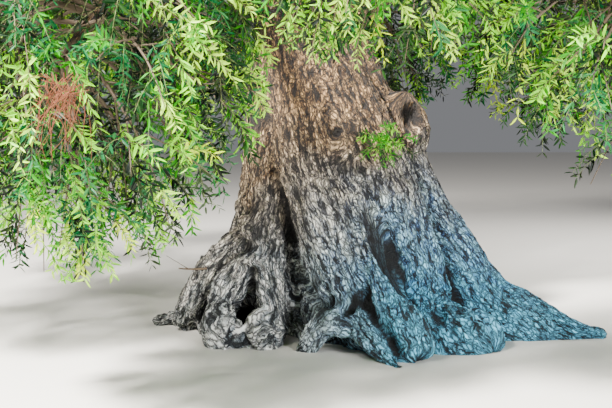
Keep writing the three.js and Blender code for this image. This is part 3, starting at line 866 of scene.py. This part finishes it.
def barked_tube(line, radii, seed):
    """A bough with long ripples, knobs and small plates, and how deep each place lies."""
    away = ring_round(line, BOUGH_SIDES, (0, 1, 0.2))
    round_it = (line[:, None] + away * radii[:, None, None]).reshape(-1, 3)
    along = np.repeat(np.arange(len(line)) * BOUGH_STEP, BOUGH_SIDES)
    across = np.tile(turns_of(BOUGH_SIDES), len(line)) / (2 * np.pi)
    size = np.repeat(radii, BOUGH_SIDES)
    plate = plates(along / 0.07, across * BOUGH_PLATES, seed, BOUGH_PLATES)
    crack = smoothstep(0.28, 0.03, plate)
    swell = 0.16 * noise(round_it, 0.32, seed) + 0.07 * noise(round_it, 0.11, seed + 3)
    knobs = smoothstep(0.45, 0.9, noise(round_it, 0.19, seed + 7))
    lift = size * (swell + 0.2 * knobs - 0.05 * crack + 0.03 * noise(round_it, 0.04, seed + 9))
    points = round_it + away.reshape(-1, 3) * lift[:, None]
    wide = BOUGH_GIRTH * (np.arange(BOUGH_SIDES)[:, None] + (0, 1, 1, 0)) / BOUGH_SIDES
    long = (np.arange(len(line) - 1)[:, None, None] + (0, 0, 1, 1)) * BOUGH_STEP
    flow = np.stack(np.broadcast_arrays(wide, long), -1).reshape(-1, 2)
    return points, row_quads(len(line), BOUGH_SIDES).reshape(-1, 4), crack, flow


def gathered(parts):
    """Several meshes of points and faces as one."""
    start = np.cumsum([0] + [len(points) for points, _ in parts[:-1]])
    points = np.concatenate([part[0] for part in parts])
    return points, np.concatenate([part[1] + first for part, first in zip(parts, start)])


def bough_piece(boughs):
    tubes = [barked_tube(*bough_limb(bough), seed) for seed, bough in enumerate(boughs.values())]
    points, quads = gathered([tube[:2] for tube in tubes])
    piece = mesh_object("bark_boughs", points, quads)
    crack = np.concatenate([tube[2] for tube in tubes])
    flow = np.concatenate([tube[3] for tube in tubes])
    add_fields(piece.data, flow, {"hollow": 0.6 * crack, "ridge": 0.35 * (1 - crack)})
    return piece


# Twigs and leaves, many at once: a curve is its start, its bend and its tip

UP = np.array([0.0, 0.0, 1.0])


def on_curves(curves, t):
    t = np.broadcast_to(t, len(curves))[:, None]
    return curves[:, 0] * (1 - t) ** 2 + 2 * curves[:, 1] * t * (1 - t) + curves[:, 2] * t * t


def ways_of(curves, t):
    t = np.broadcast_to(t, len(curves))[:, None]
    return unit((curves[:, 1] - curves[:, 0]) * (1 - t) + (curves[:, 2] - curves[:, 1]) * t)


def depth_in(name, points):
    """How far out points lie in a mass: 0 in its middle and 1 on the edge of its ellipsoid."""
    at, size = MASSES[name]
    return np.linalg.norm((points - at) / np.array(size), axis=1)


def room_in(name):
    """A test for points: inside the mass, and further inside it than in any other."""
    def fits(points):
        own = depth_in(name, points)
        others = np.min([depth_in(other, points) for other in MASSES if other != name], axis=0)
        return (own < 1) & (others > own)
    return fits


def spread_direction(count, seed):
    """Directions spread evenly over a ball, turned and shaken by the mass's own seed."""
    k = np.arange(count)
    z = 1 - 2 * (k + 0.5) / count
    turn = k * GOLDEN_ANGLE + seed * 1.7 + (chance(seed, k) - 0.5) * 0.7
    flat = np.sqrt(1 - z * z)
    return np.stack([flat * np.cos(turn), flat * np.sin(turn), z], 1)


def first_that_fit(make, count, fits):
    """The curves that "make" gives, each as long as it fits, or left out."""
    kept, open_ = [], np.ones(count, bool)
    for share in TWIG_SHARES:
        curves = make(share)
        good = open_ & fits(on_curves(curves, 0.5)) & fits(curves[:, 2])
        kept.append(curves[good])
        open_ &= ~good
    return np.concatenate(kept)


def twigs_on(stem, at, size, count, seed, fits):
    """Twigs from a stem to goals spread over its mass."""
    k = np.arange(count)
    base = lerp(stem[0], stem[1], lerp(STEM_BARE, 1, (k + chance(seed, 40 + k)) / count)[:, None])
    out = TWIG_REACH * lerp(TWIG_EVENNESS, 1, chance(seed, 20 + k))
    goal = at + spread_direction(count, seed) * size * out[:, None]

    def make(share):
        tip = lerp(base, goal, share)
        return np.stack([base, (base + tip) / 2 + UP * TWIG_ARCH * share, tip], 1)
    return first_that_fit(make, count, fits)


def offshoots(parents, stations, swings, length, droop, turn, seed, fits):
    """Limbs that leave each parent at its stations, by turns on both sides, and hang over."""
    kept = []
    for n, (station, swing) in enumerate(zip(stations, swings)):
        index = np.arange(len(parents)) * len(stations) + n
        t = np.clip(station + 0.08 * (chance(seed, 500 + index) - 0.5), 0, 1)
        root = on_curves(parents, t)
        tangent = ways_of(parents, t)
        across = unit(np.cross(tangent, UP + 0.01))
        angle = (n + chance(seed, index * 7 + n)) * turn
        side = across * np.cos(angle)[:, None] + np.cross(tangent, across) * np.sin(angle)[:, None]
        swing = math.radians(swing) * lerp(*LIMB_SWINGS, chance(seed, 900 + index))
        heading = unit(tangent * np.cos(swing)[:, None] + side * np.sin(swing)[:, None])
        reach = (length * lerp(*LIMB_LENGTHS, chance(seed, 1300 + index)))[:, None]

        def make(share):
            bend = root + heading * reach * share * 0.55
            tip = root + (heading - UP * droop) * reach * share
            return np.stack([root, bend, tip], 1)
        kept.append(first_that_fit(make, len(parents), fits))
    return np.concatenate(kept)


def slim_tubes(curves, thick, thin, steps, sides):
    """Thin limbs along many curves."""
    shares = np.linspace(0, 1, steps + 1)
    line = np.stack([on_curves(curves, t) for t in shares], 1)
    tangent = np.stack([ways_of(curves, t) for t in shares], 1)
    chord = unit(curves[:, 2] - curves[:, 0])
    helper = np.where(np.abs(chord[:, 2:]) > 0.8, [[1.0, 0.0, 0.0]], [[0.0, 0.0, 1.0]])
    normal = unit(np.cross(tangent, helper[:, None]))
    binormal = np.cross(tangent, normal)
    turn = turns_of(sides)
    ring = np.cos(turn)[:, None] * normal[:, :, None] + np.sin(turn)[:, None] * binormal[:, :, None]
    points = line[:, :, None] + ring * lerp(thick, thin, shares)[:, None, None]
    first = np.arange(len(curves))[:, None, None, None] * (steps + 1) * sides
    return points.reshape(-1, 3), (first + row_quads(steps + 1, sides)).reshape(-1, 4)


def leaves_on(sprigs, length, pairs, seed):
    """Leaves in pairs along each sprig, each pair square to the last: the corners of each."""
    k = np.arange(len(sprigs))
    points = []
    for pair in range(pairs):
        t = np.clip(lerp(0.08, 1.0, pair / (pairs - 1)) + 0.05 * (chance(seed, k * 31 + pair) - 0.5), 0, 1)
        root = on_curves(sprigs, t)
        tangent = ways_of(sprigs, t)
        across = unit(np.cross(tangent, (0.31, 0.17, 0.94)))
        turn = chance(seed, k) * 6.3 + pair * np.pi / 2 + 0.7 * (chance(seed, k * 17 + pair) - 0.5)
        side = across * np.cos(turn)[:, None] + np.cross(tangent, across) * np.sin(turn)[:, None]
        for hand in (1, -1):
            draw = chance(seed + hand, k * 13 + pair)
            spread = np.radians(lerp(*LEAF_SPREAD_DEG, draw))[:, None]
            heading = unit(tangent * np.cos(spread) + hand * side * np.sin(spread) - UP * 0.06)
            shake = np.stack([chance(seed + hand + a, k * 19 + pair) - 0.5 for a in (2, 4, 6)], 1)
            facing = tangent * 0.5 + UP * 0.55 + shake * 1.3
            facing = unit(facing - heading * (facing * heading).sum(1)[:, None])
            size = length * lerp(*LEAF_SIZES, chance(seed + hand, k * 23 + pair)) * (1 - 0.3 * t)
            points.append(leaf_points(root, heading, facing, size[:, None]))
    return np.stack(points, 1)


def leaf_points(root, heading, facing, size):
    """The six corners of each leaf: its root, two on one edge, its tip, two on the other."""
    over = np.cross(heading, facing)
    half = LEAF_WIDTH / 2
    shape = (
        (0, 0, 0), (0.32, half, LEAF_FOLD * half), (0.72, 0.78 * half, LEAF_FOLD * half - 0.4 * LEAF_BEND),
        (1, 0, -LEAF_BEND), (0.72, -0.78 * half, LEAF_FOLD * half - 0.4 * LEAF_BEND),
        (0.32, -half, LEAF_FOLD * half),
    )
    corners = [root + size * (a * heading + b * over + c * facing) for a, b, c in shape]
    return np.stack(corners, 1)


def leaf_mesh(name, leaves):
    first = np.arange(len(leaves))[:, None, None] * 6
    quads = first + np.array([[0, 1, 2, 3], [0, 3, 4, 5]])[None]
    return mesh_object(name, leaves.reshape(-1, 3), quads.reshape(-1, 4), smooth=False)


def shades_of(sprigs, depth, seed):
    """Which colour each sprig's leaves have: painted shade, dark inside the mass, and painted light, lighter
    further out, with patches of painted sunlight and shade.
    """
    value = SHADE_START + SHADE_DEPTH * smoothstep(0.4, 1.0, depth)
    value = value + SUNLIT_PATCHES * rough(sprigs[:, 2], 0.45, 61, 2)
    value += SHADE_CHANCE * (chance(seed, 77 + np.arange(len(sprigs))) - 0.5)
    return np.clip((value * len(LEAF_COLOURS)).astype(int), 0, len(LEAF_COLOURS) - 1)


def shoot_on_trunk():
    """The sprigs of the short shoot that stands on the trunk's own bark."""
    seed, count = 4, SHOOT_TWIGS
    k = np.arange(count)
    share = lerp(0.55, 1, (k + chance(seed, 40 + k)) / count)[:, None]
    base = lerp(np.array(SHOOT_FROM), np.array(SHOOT_TO), share)
    heading = spread_direction(count, 3) * (1, -1, 1)
    heading[:, 1] = -np.abs(heading[:, 1])
    goal = SHOOT_TO + heading * SHOOT_SIZE
    twigs = np.stack([base, (base + goal) / 2 + UP * 0.03, goal], 1)

    def fits(points):
        return points[:, 1] < SHOOT_FRONT
    sprigs = offshoots(twigs, (0.35, 0.6, 0.85), (45, -45, 10), 0.09, 0.3, SPRIG_TURN, seed, fits)
    return np.concatenate([twigs, sprigs])


def dry_twigs():
    """A hanging bundle of dead twigs among the leaves."""
    k = np.arange(DRY_COUNT)
    shake = [np.stack([chance(61 + a + b, k) - 0.5 for a in range(3)], 1) for b in (0, 3, 6)]
    root = DRY_BUNDLE + (0, 0.06, 0.11) + shake[0] * (0.19, 0.08, 0.12)
    tip = DRY_BUNDLE + (0, 0, -0.05) + shake[1] * (0.26, 0.16, 0.3)
    bend = (root + tip) / 2 + shake[2] * (0.2, 0.16, 0.12)
    return mesh_object("dry_twigs", *slim_tubes(np.stack([root, bend, tip], 1), 0.002, 0.0009, 5, 3))


def dead_spur():
    """A dead spur on the left root, forked near its tip."""
    spur = np.array([[(-0.97, -0.2, 0.5), (-1.06, -0.22, 0.49), (-1.17, -0.24, 0.505)]])
    fork = np.array([[(-1.1, -0.23, 0.5), (-1.16, -0.25, 0.54), (-1.25, -0.27, 0.6)]])
    return [slim_tubes(spur, 0.011, 0.005, 6, 6), slim_tubes(fork, 0.003, 0.0015, 4, 4)]


def crown(boughs):
    """All twigs, branchlets, sprigs and leaves: wood by kind and leaves by colour."""
    wood = {"twigs": [], "branchlets": [], "sprigs": []}
    leaves = {shade: [] for shade in LEAF_COLOURS}
    for i, name in enumerate(MASSES):
        at, size = (np.array(v) for v in MASSES[name])
        fits = room_in(name)
        near = name in TWIG_COUNTS
        more = TWIG_COUNTS.get(name, USUAL_TWIGS) - SOURCE_TWIGS
        stem = boughs[name]["stem"]
        twigs = np.concatenate([
            twigs_on(stem, at, size, SOURCE_TWIGS, i + 1, fits),
            twigs_on(stem, at, size, more, i + 101, fits),
        ])
        branchlets = offshoots(twigs, BRANCHLET_STATIONS, BRANCHLET_SWINGS, BRANCHLET_LENGTH,
                               DROOP * 0.5, BRANCHLET_TURN, i + 201, fits)
        sprigs = offshoots(branchlets, SPRIG_STATIONS, SPRIG_SWINGS, SPRIG_LENGTH, DROOP,
                           SPRIG_TURN, i + 301, fits)
        sprigs = sprigs[np.linalg.norm(sprigs - DRY_CLEAR, axis=2).min(1) > DRY_ROOM]
        wood["twigs"].append(twigs)
        wood["branchlets"].append(branchlets)
        wood["sprigs"].append(sprigs)
        length = LEAF_LENGTH * (1 if near else FAR_LEAF)
        grown = leaves_on(sprigs, length, LEAF_PAIRS if near else LEAF_PAIRS - 2, i + 401)
        shade = shades_of(sprigs, depth_in(name, sprigs[:, 2]), i + 501)
        for number, key in enumerate(LEAF_COLOURS):
            leaves[key].append(grown[shade == number].reshape(-1, 6, 3))
    sprigs = shoot_on_trunk()
    wood["sprigs"].append(sprigs)
    grown = leaves_on(sprigs, LEAF_LENGTH * 0.7, 6, 4)
    for first, key in enumerate(("light", "deep", "green", "green")):
        leaves[key].append(grown[first::4].reshape(-1, 6, 3))
    return ({kind: np.concatenate(curves) for kind, curves in wood.items()},
            {key: np.concatenate(parts) for key, parts in leaves.items()})


# Materials

def colour(red, green, blue):
    """A colour as it looks on a screen, from 0 to 255, as the renderer wants it."""
    def channel(value):
        share = value / 255
        return share / 12.92 if share <= 0.04045 else ((share + 0.055) / 1.055) ** 2.4
    return (channel(red), channel(green), channel(blue), 1.0)


def put(tree, kind, inputs=None, **settings):
    """A new node; an input is a number, a colour or another node's output."""
    made = tree.nodes.new(kind)
    for key, value in settings.items():
        setattr(made, key, value)
    for key, value in (inputs or {}).items():
        if isinstance(value, bpy.types.NodeSocket):
            tree.links.new(value, made.inputs[key])
        else:
            made.inputs[key].default_value = value
    return made


def mixed(tree, factor, first, second):
    """The colour between two colours."""
    return put(tree, "ShaderNodeMix", {0: factor, 6: first, 7: second}, data_type="RGBA").outputs[2]


def ranged(tree, value, low, high, to_low=0.0, to_high=1.0):
    """A value moved from one range to another and held inside it."""
    return put(tree, "ShaderNodeMapRange", {
        "Value": value, "From Min": low, "From Max": high, "To Min": to_low, "To Max": to_high}).outputs[0]


def calculated(tree, operation, first, second=0.0, kind="ShaderNodeMath"):
    return put(tree, kind, {0: first, 1: second}, operation=operation).outputs[0]


def cloudy(tree, where, scale, detail, roughness=0.5, **settings):
    """A noise texture at those places."""
    return put(tree, "ShaderNodeTexNoise", {
        "Vector": where, "Scale": scale, "Detail": detail, "Roughness": roughness}, **settings)


def group(name, inputs, outputs):
    """An empty node group with its sockets, each with its kind."""
    made = bpy.data.node_groups.new(name, "ShaderNodeTree")
    for way, sockets in (("INPUT", inputs), ("OUTPUT", outputs)):
        for socket, kind in sockets.items():
            made.interface.new_socket(socket, in_out=way, socket_type="NodeSocket" + kind)
    return made, made.nodes.new("NodeGroupInput").outputs, made.nodes.new("NodeGroupOutput").inputs


def mottle_group():
    """Two colours that run into each other in patches."""
    made, given, result = group(
        "mottle", {"Vector": "Vector", "Size": "Float", "One": "Color", "Other": "Color"}, {"Color": "Color"})
    patches = cloudy(made, given["Vector"], given["Size"], 6.0, 0.65).outputs[0]
    share = ranged(made, patches, 0.36, 0.66)
    made.links.new(mixed(made, share, given["One"], given["Other"]), result["Color"])
    return made


def cracks_group():
    """Long plates with cracks between them along the flow: how high and how cracked a place
    is, and how pale its patch of bark."""
    made, given, result = group("cracks", {"Flow": "Vector", "Where": "Vector", "Width": "Float"},
                                {"Height": "Float", "Crack": "Float", "Tone": "Float"})

    def patches(scale, low, high):
        return ranged(made, cloudy(made, given["Where"], scale, 3.0).outputs[0], low, high)

    def vectors(operation, first, second):
        return calculated(made, operation, first, second, "ShaderNodeVectorMath")

    def moved(scale, reach, start):
        drift = vectors("SUBTRACT", cloudy(made, given["Where"], scale, 4.0).outputs[1], (0.5, 0.5, 0.5))
        return vectors("ADD", start, vectors("MULTIPLY", drift, reach))

    def stretched(across, along):
        shape = put(made, "ShaderNodeCombineXYZ", {0: across, 1: along})
        return vectors("MULTIPLY", place, shape.outputs[0])

    def network(size, open_to):
        """Cracks round plates of "size" times the width."""
        across = calculated(made, "DIVIDE", 1.0 / size, given["Width"])
        along = calculated(made, "MULTIPLY", across, PLATE_SHAPE)
        edge = put(made, "ShaderNodeTexVoronoi", {"Vector": stretched(across, along), "Scale": 1.0},
                   feature="DISTANCE_TO_EDGE", voronoi_dimensions="2D")
        return ranged(made, edge.outputs[0], 0.0, open_to, 1.0, 0.0)

    place = moved(45.0, (0.014, 0.014, 0.0), moved(9.0, (0.06, 0.08, 0.0), given["Flow"]))
    wide = calculated(made, "MULTIPLY", network(2.2, 0.18), patches(7.0, 0.32, 0.48))
    fine = calculated(made, "MULTIPLY", network(1.0, 0.24), patches(55.0, 0.22, 0.44))
    winding = cloudy(made, stretched(14.0, 4.0), 1.0, 2.0, noise_dimensions="2D").outputs[0]
    middle = calculated(made, "ABSOLUTE", calculated(made, "SUBTRACT", winding, 0.5))
    long = ranged(made, middle, 0.006, 0.024, 1.0, 0.0)
    crack = calculated(made, "MAXIMUM", calculated(made, "MAXIMUM", wide, fine), long)
    streaks = cloudy(made, stretched(30.0, 8.0), 1.0, 5.0, 0.7, noise_dimensions="2D").outputs[0]
    tone = ranged(made, streaks, 0.38, 0.6)
    height = calculated(made, "SUBTRACT", calculated(made, "MULTIPLY", tone, 0.7), crack)
    for name, value in (("Height", height), ("Crack", crack), ("Tone", tone)):
        made.links.new(value, result[name])
    return made


def material(name, roughness):
    made = bpy.data.materials.new(name)
    made.use_nodes = True
    tree = made.node_tree
    surface = tree.nodes["Principled BSDF"]
    surface.inputs["Roughness"].default_value = roughness
    return made, tree, surface


def bark_material(name, shared, low, high, plate_width):
    """Weathered bark, cool and grey near the ground and warmer from "low" to "high", with painted shade (blue
    on the right, brown and dark under the crown, dark in hollows) and painted light (pale on ridges and low
    on the right).
    """
    made, tree, surface = material(name, 0.88)
    where = put(tree, "ShaderNodeTexCoord").outputs["Object"]
    flow = put(tree, "ShaderNodeUVMap", uv_map="flow").outputs[0]
    x, y, z = put(tree, "ShaderNodeSeparateXYZ", {0: where}).outputs
    hollow, ridge = (put(tree, "ShaderNodeAttribute", attribute_name=field).outputs["Fac"]
                     for field in ("hollow", "ridge"))

    def times(first, second):
        return calculated(tree, "MULTIPLY", first, second)

    def mottled(one, other):
        return put(tree, "ShaderNodeGroup", {"Vector": where, "Size": 6.5, "One": colour(*one),
                                             "Other": colour(*other)}, node_tree=shared["mottle"]).outputs[0]

    # Where the bark is warm, where the crown's painted shade browns and darkens it near the top, where
    # painted shade turns it blue on the right side, and where painted light makes it paler there low down
    drift = ranged(tree, cloudy(tree, where, 2.2, 3.0).outputs[0], 0.3, 0.7, -0.25, 0.25)
    level = calculated(tree, "ADD", calculated(tree, "ADD", z, times(x, -0.3)), drift)
    warm = ranged(tree, level, low, high)
    # Painted shade of the crown: browner and darker towards the top.
    upper = ranged(tree, z, 1.0, 1.7, 0.0, 0.85)
    # Painted shade on the right side, in blue, fading upwards and towards the back.
    right = times(ranged(tree, x, -0.4, 0.3), ranged(tree, z, 0.4, 1.4, 1.0, 0.15))
    right = times(right, ranged(tree, y, 0.0, 0.8, 1.0, 0.3))
    # Painted light that makes the right side paler low down.
    painted_light_low_right = times(right, ranged(tree, z, 0.65, 0.2, 0.0, 0.8))

    # The wood's colours with the painted shade, blue on the right and brown under the crown, then what is
    # pale and what is dark on it
    cool = mixed(tree, right, mottled(*GREY_BARK), mottled(*BLUE_SHADE_BARK))
    brown = mixed(tree, upper, mottled(*TAN_BARK), colour(*CROWN_SHADE_BARK))
    body = mixed(tree, warm, cool, brown)
    pale = mixed(tree, right, colour(*PALE_GREY), colour(*PALE_BLUE_SHADE))
    pale = mixed(tree, warm, pale, mixed(tree, upper, colour(*PALE_TAN), colour(*PALE_CROWN_SHADE)))
    dark = mixed(tree, warm, colour(*DARK_COOL), colour(*DARK_WARM))
    fine = put(tree, "ShaderNodeGroup", {"Flow": flow, "Where": where, "Width": plate_width},
               node_tree=shared["cracks"]).outputs
    # Pale on ridges as painted highlight and low on the right as painted light, paler and darker in the
    # bark's own streaks, dark in its cracks, and dark in hollows as painted shade.
    for share, tint in (
        (ranged(tree, ridge, 0.0, 1.0, 0.0, 0.85), pale), (painted_light_low_right, pale),
        (ranged(tree, fine["Tone"], 0.45, 0.85, 0.0, 1.0), pale),
        (ranged(tree, fine["Tone"], 0.55, 0.1, 0.0, 0.95), dark),
        (times(fine["Crack"], 0.96), dark), (hollow, dark),
    ):
        body = mixed(tree, share, body, tint)
    tree.links.new(body, surface.inputs["Base Color"])
    bump = put(tree, "ShaderNodeBump", {"Height": fine["Height"], "Strength": 1.0, "Distance": 0.02})
    tree.links.new(bump.outputs[0], surface.inputs["Normal"])
    return made


def plain_material(name, tint, roughness):
    made, _, surface = material(name, roughness)
    surface.inputs["Base Color"].default_value = colour(*tint)
    return made


def leaf_material(name, tint):
    """A leaf: its colour above and a paler, silvery one below."""
    made, tree, surface = material(name, 0.45)
    surface.inputs["Specular IOR Level"].default_value = 0.15
    below = tuple(lerp(above, under, 0.2) for above, under in zip(tint, LEAF_BELOW))
    side = put(tree, "ShaderNodeNewGeometry").outputs["Backfacing"]
    tree.links.new(mixed(tree, side, colour(*tint), colour(*below)), surface.inputs["Base Color"])
    return made


def finish_piece(obj, slot, look, *nodes):
    obj.data.materials.clear()
    obj.data.materials.append(look)
    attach(obj, "root")
    if nodes:
        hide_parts(*nodes)


# The camera, the floor and the lights

def make_camera():
    data = bpy.data.cameras.new("camera")
    data.sensor_width = 36
    data.lens = 36 * FOCAL_PIXELS / PHOTO_WIDTH
    data.clip_end = 200
    camera = linked("camera", data)
    camera.location = EYE
    tilt = math.atan((PHOTO_HEIGHT / 2 - HORIZON_ROW) / FOCAL_PIXELS)
    camera.rotation_euler = (math.pi / 2 - tilt, 0, 0)
    bpy.context.scene.camera = camera


def make_floor():
    floor = mesh_object("floor", [(-60, -60, 0), (60, -60, 0), (60, 60, 0), (-60, 60, 0)], [(0, 1, 2, 3)])
    floor.data.materials.append(plain_material("floor", FLOOR_COLOUR, 0.9))


def make_light(name, place, aim, size, power, tint):
    data = bpy.data.lights.new(name, "AREA")
    data.shape = "DISK"
    data.size = size
    data.energy = power
    data.color = tint
    light = linked(name, data)
    light.location = place
    light.rotation_euler = (Vector(aim) - Vector(place)).to_track_quat("-Z", "Y").to_euler()


def make_world():
    world = bpy.data.worlds.new("studio")
    world.use_nodes = True
    background = world.node_tree.nodes["Background"]
    background.inputs["Color"].default_value = (0.93, 0.95, 1.0, 1)
    background.inputs["Strength"].default_value = 0.22
    bpy.context.scene.world = world


make_camera()
make_floor()
make_world()
make_light("key", (-6, -8, 9), (0, 0, 1), 1.5, 13500, (1.0, 0.97, 0.92))
make_light("fill", (4.5, -9.0, 2.0), (0.8, -0.5, 0.3), 2.5, 1500, (0.94, 0.97, 1.0))
make_light("knot_shade", (7, 5, 7), (0.8, 0, 1), 3.0, 1700, (1.0, 0.98, 0.95))

groups = {"mottle": mottle_group(), "cracks": cracks_group()}
trunk_bark = bark_material("trunk_bark", groups, 0.7, 1.4, 0.018)
bough_bark = bark_material("bough_bark", groups, 1.0, 2.2, 0.02)
boughs = planned_boughs()
for piece in trunk_pieces(boughs):
    finish_piece(piece, "bark", trunk_bark, "trunk")
finish_piece(bough_piece(boughs), "bough_bark", bough_bark, *["bough_" + name for name in boughs])

foliage_nodes = ["foliage_" + name for name in MASSES] + ["foliage_trunk_shoot"]
wood, leaves = crown(boughs)
twig_look = plain_material("twig", TWIG_COLOUR, 0.85)
sprig_look = plain_material("sprig", SPRIG_COLOUR, 0.7)
twig_parts = [slim_tubes(wood["twigs"], *TWIG_THICKNESS, 8, 5),
              slim_tubes(wood["branchlets"], *BRANCHLET_THICKNESS, 4, 3), *dead_spur()]
finish_piece(mesh_object("twigs", *gathered(twig_parts)), "leaf", twig_look, *foliage_nodes)
half = len(wood["sprigs"]) // 2
for number, curves in enumerate((wood["sprigs"][:half], wood["sprigs"][half:])):
    piece = mesh_object(f"sprigs_{number + 1}", *slim_tubes(curves, *SPRIG_THICKNESS, 3, 3))
    finish_piece(piece, "leaf", sprig_look, *foliage_nodes)
for shade, tint in LEAF_COLOURS.items():
    leaf_look = leaf_material("leaf_" + shade, tint)
    shares = 1 + len(leaves[shade]) // LEAVES_IN_PIECE
    for number, share in enumerate(np.array_split(leaves[shade], shares)):
        finish_piece(leaf_mesh(f"leaves_{shade}_{number + 1}", share), "leaf", leaf_look, *foliage_nodes)
finish_piece(dry_twigs(), "bough_bark", plain_material("dry_twig", DRY_COLOUR, 0.85))
